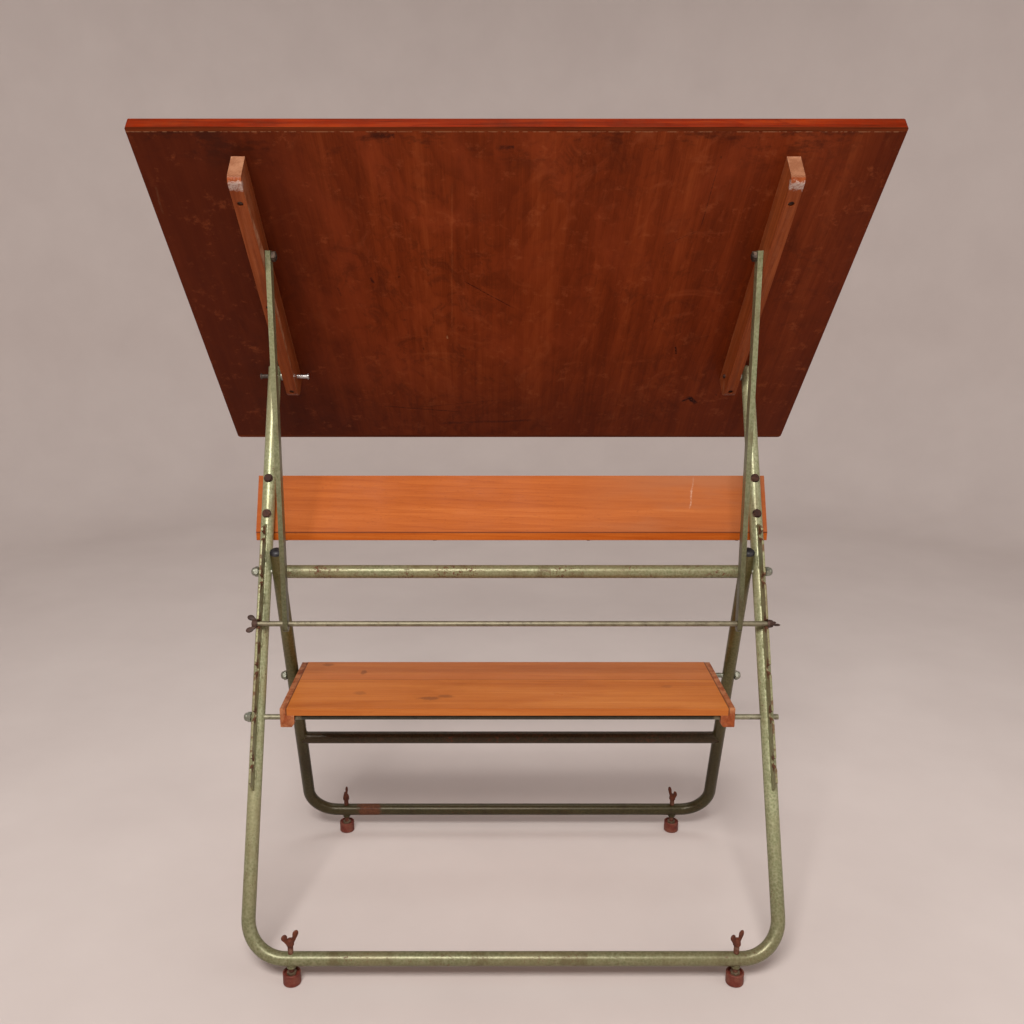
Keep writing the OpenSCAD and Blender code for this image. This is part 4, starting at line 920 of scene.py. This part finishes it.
# levelling feet: wing-headed screw, thread, lock nut
for pos, x, y, turn, bar in (("front_left", -FFX, BARF, 37, BAR_F), ("front_right", FFX, BARF, 35, BAR_F), ("rear_left", -FRX, BARR, 90, BAR_R), ("rear_right", FRX, BARR, 113, BAR_R)):
    body = "foot_" + pos
    m = Matrix.Translation((x, y, 0.076)) @ Matrix.Rotation(rad(turn), 4, "Z")
    bm = bmesh.new()
    wing_head(bm, m, 0.0122, 0.0107, 0.0182, (0.0058, 0.0066), 0.0070, 0.0054, 0.0026)
    o = make("wing_head_" + pos, bm, "rusty_wing", body, replaces=("foot_screw_" + pos,))
    cast(o, 0.0005, 5)
    base = Matrix.Translation((x, y, 0))
    bm = bmesh.new()
    lathe(bm, [(0, 0.0025), (0.0035, 0.0035), (0.0060, 0.0060), (0.0068, 0.0090), (0.0060, 0.0128), (0.0046, 0.0150), (0.0046, 0.0785), (0, 0.0785)], 40, base)
    thread(bm, 0.0050, 0.0046, 0.0016, bar - TR - 0.0045 - 0.0225, base @ Matrix.Translation((0, 0, 0.0225)))
    thread(bm, 0.0050, 0.0046, 0.0016, 0.0765 - bar - TR, base @ Matrix.Translation((0, 0, bar + TR - 0.0005)))
    make("foot_stem_" + pos, bm, "rusty_wing", body, sharp=28)
    bm = bmesh.new()
    hex_head(bm, 0.0155, 0.0044, base @ Matrix.Translation((0, 0, 0.0187)) @ Matrix.Rotation(rad(turn * 0.7), 4, "Z"), bore=0.0044)
    make("foot_nut_" + pos, bm, "foot_nut", body, sharp=28)

# weld beads
def stitch(bm, frame_of, x, side, z0, z1, seed):
    n = max(4, int((z1 - z0) / 0.0017))
    a = 0.175  # where the plate meets the tube, round from the front
    pts = [frame_of @ Vector((x + side * 0.0030, -TR * math.cos(a) - 0.0006, z0 + (z1 - z0) * k / n)) for k in range(n + 1)]
    nor = [frame_of.to_3x3() @ Vector((side * 0.7, -0.7, 0))] * (n + 1)
    weld(bm, pts, nor, 0.0017, seed=seed)


RACK_LOW = NOTCH_TOP - 5 * PITCH - 0.050
for side, s in (("left", -1), ("right", 1)):
    bm = bmesh.new()
    rng = np.random.default_rng(5 + s)
    for i in range(7):
        z = RACK_LOW + 0.012 + i * 0.0800 + (rng.random() - 0.5) * 0.014
        ln = 0.016 + 0.012 * rng.random()
        for q in (-1, 1):
            stitch(bm, ON_FRONT, s * FX, q, z, min(z + ln, NOTCH_TOP + 0.024), 10 * i + q + 40)
    make("rack_weld_" + side, bm, "green_front", "stand_front", sharp=60)
bm = bmesh.new()
for z in (0.0, -0.431):
    for s in (-1, 1):
        pts, nor = [], []
        for k in range(49):
            a = 2 * math.pi * k / 48
            cy, cz = math.cos(a), math.sin(a)
            # the joint line of a bar against a leg of the same diameter
            x = RX - math.sqrt(max(0.0, TR ** 2 - (TR * cy) ** 2)) - 0.0002
            pts.append(ON_REAR @ Vector((s * x, TR * 1.01 * cy, z + TR * 1.01 * cz)))
            nor.append(ON_REAR.to_3x3() @ Vector((-s * 0.6, cy, cz)))
        weld(bm, pts, nor, 0.0016, seed=int(90 + z * 100 + s))
make("crossbar_welds", bm, "green_rear", "stand_rear", sharp=60)
for nm, y, x0, bar, mat, body in (("front", BARF, FFX, BAR_F, "green_front", "stand_front"), ("rear", BARR, FRX, BAR_R, "green_rear", "stand_rear")):
    bm = bmesh.new()
    for s in (-1, 1):
        pts, nor = [], []
        for k in range(37):
            a = 2 * math.pi * k / 36
            dx, dy = 0.0083 * math.cos(a), 0.0083 * math.sin(a)
            pts.append(Vector((s * x0 + dx, y + dy, bar - math.sqrt(TR ** 2 - dy ** 2) - 0.0001)))
            nor.append(Vector((math.cos(a), math.sin(a), -0.8)))
        weld(bm, pts, nor, 0.0013, seed=7 + s)
    make("collar_welds_" + nm, bm, mat, body, sharp=60)


# ---------------------------------------------------------------- camera, at the photograph's viewpoint
psi, phi, roll = 0.0005, 0.2365, -0.0001
fwd = Vector((math.sin(psi) * math.cos(phi), math.cos(psi) * math.cos(phi), -math.sin(phi)))
right = Vector((math.cos(psi), -math.sin(psi), 0))
up = right.cross(fwd)
r2 = right * math.cos(roll) - up * math.sin(roll)
u2 = right * math.sin(roll) + up * math.cos(roll)
cam_data = bpy.data.cameras.new("camera")
cam_data.lens = 987.80 / 1024 * 36
cam_data.sensor_width = 36
cam_data.shift_x = 0.01752
cam_data.clip_start, cam_data.clip_end = 0.05, 50
cam = bpy.data.objects.new("camera", cam_data)
bpy.context.scene.collection.objects.link(cam)
cam.matrix_world = Matrix(((r2.x, u2.x, -fwd.x, -0.03515), (r2.y, u2.y, -fwd.y, -1.83831), (r2.z, u2.z, -fwd.z, 1.22409), (0, 0, 0, 1)))
bpy.context.scene.camera = cam


# ---------------------------------------------------------------- stage: a pale floor that curves up into a pale wall all round
def stage_material():
    g = Graph("stage_pale")
    n = g.noise(g.obj, 3.0, 4, 0.6)
    g.shader("Base Color", g.ramp(n, [(0.3, (0.565, 0.500, 0.475)), (0.7, (0.600, 0.535, 0.508))]))
    g.shader("Roughness", g.step(n, 0.3, 0.7, 0.80, 0.90, smooth=False))
    g.set(Specular_IOR_Level=0.2)
    return g.mat


def build_stage():
    bm = bmesh.new()
    prof = [(0.0, 0.0), (1.0, 0.0), (2.5, 0.0)]
    R0, rc, top = 3.3, 0.9, 5.2
    for i in range(15):
        a = rad(90) * i / 14
        prof.append((R0 + rc * math.sin(a) - 0.0, rc - rc * math.cos(a)))
    prof += [(R0 + rc, 2.5), (R0 + rc, top)]
    seg = 96
    rings = [[bm.verts.new((0, 0, 0))]]
    for r, h in prof[1:]:
        rings.append([bm.verts.new((r * math.cos(2 * math.pi * i / seg), r * math.sin(2 * math.pi * i / seg), h)) for i in range(seg)])
    for a, b in zip(rings, rings[1:]):
        for i in range(seg):
            j = (i + 1) % seg
            bm.faces.new((a[0], b[i], b[j]) if len(a) == 1 else (a[i], b[i], b[j], a[j]))
    me = bpy.data.meshes.new("studio_floor")
    bm.to_mesh(me)
    bm.free()
    me.materials.append(stage_material())
    me.shade_smooth()
    o = bpy.data.objects.new("studio_floor", me)
    bpy.context.scene.collection.objects.link(o)
    o.location = (0, 0, -0.0005)


build_stage()


def area(name, where, at, size, watts, colour=(1, 1, 1), size_y=None):
    d = bpy.data.lights.new(name, "AREA")
    d.energy = watts
    d.color = colour
    d.shape = "RECTANGLE"
    d.size = size
    d.size_y = size_y or size
    o = bpy.data.objects.new(name, d)
    bpy.context.scene.collection.objects.link(o)
    o.location = where
    o.rotation_mode = "QUATERNION"
    o.rotation_quaternion = (Vector(at) - Vector(where)).to_track_quat("-Z", "Y")
    return o


area("key_soft", (-0.45, -2.75, 3.3), (0, 0.0, 0.55), 1.6, 160, (1.0, 0.965, 0.93), 1.0)
area("fill_soft", (2.5, -1.6, 1.9), (0, 0, 0.6), 1.8, 16, (1.0, 0.97, 0.95))
area("top_soft", (0.0, 1.3, 3.9), (0, 0.2, 0.6), 2.6, 44, (1.0, 0.98, 0.96))
w = bpy.data.worlds.new("studio")
w.use_nodes = True
w.node_tree.nodes["Background"].inputs[0].default_value = (1.0, 0.955, 0.93, 1)
w.node_tree.nodes["Background"].inputs[1].default_value = 0.17
bpy.context.scene.world = w
bpy.context.scene.view_settings.view_transform = "Standard"
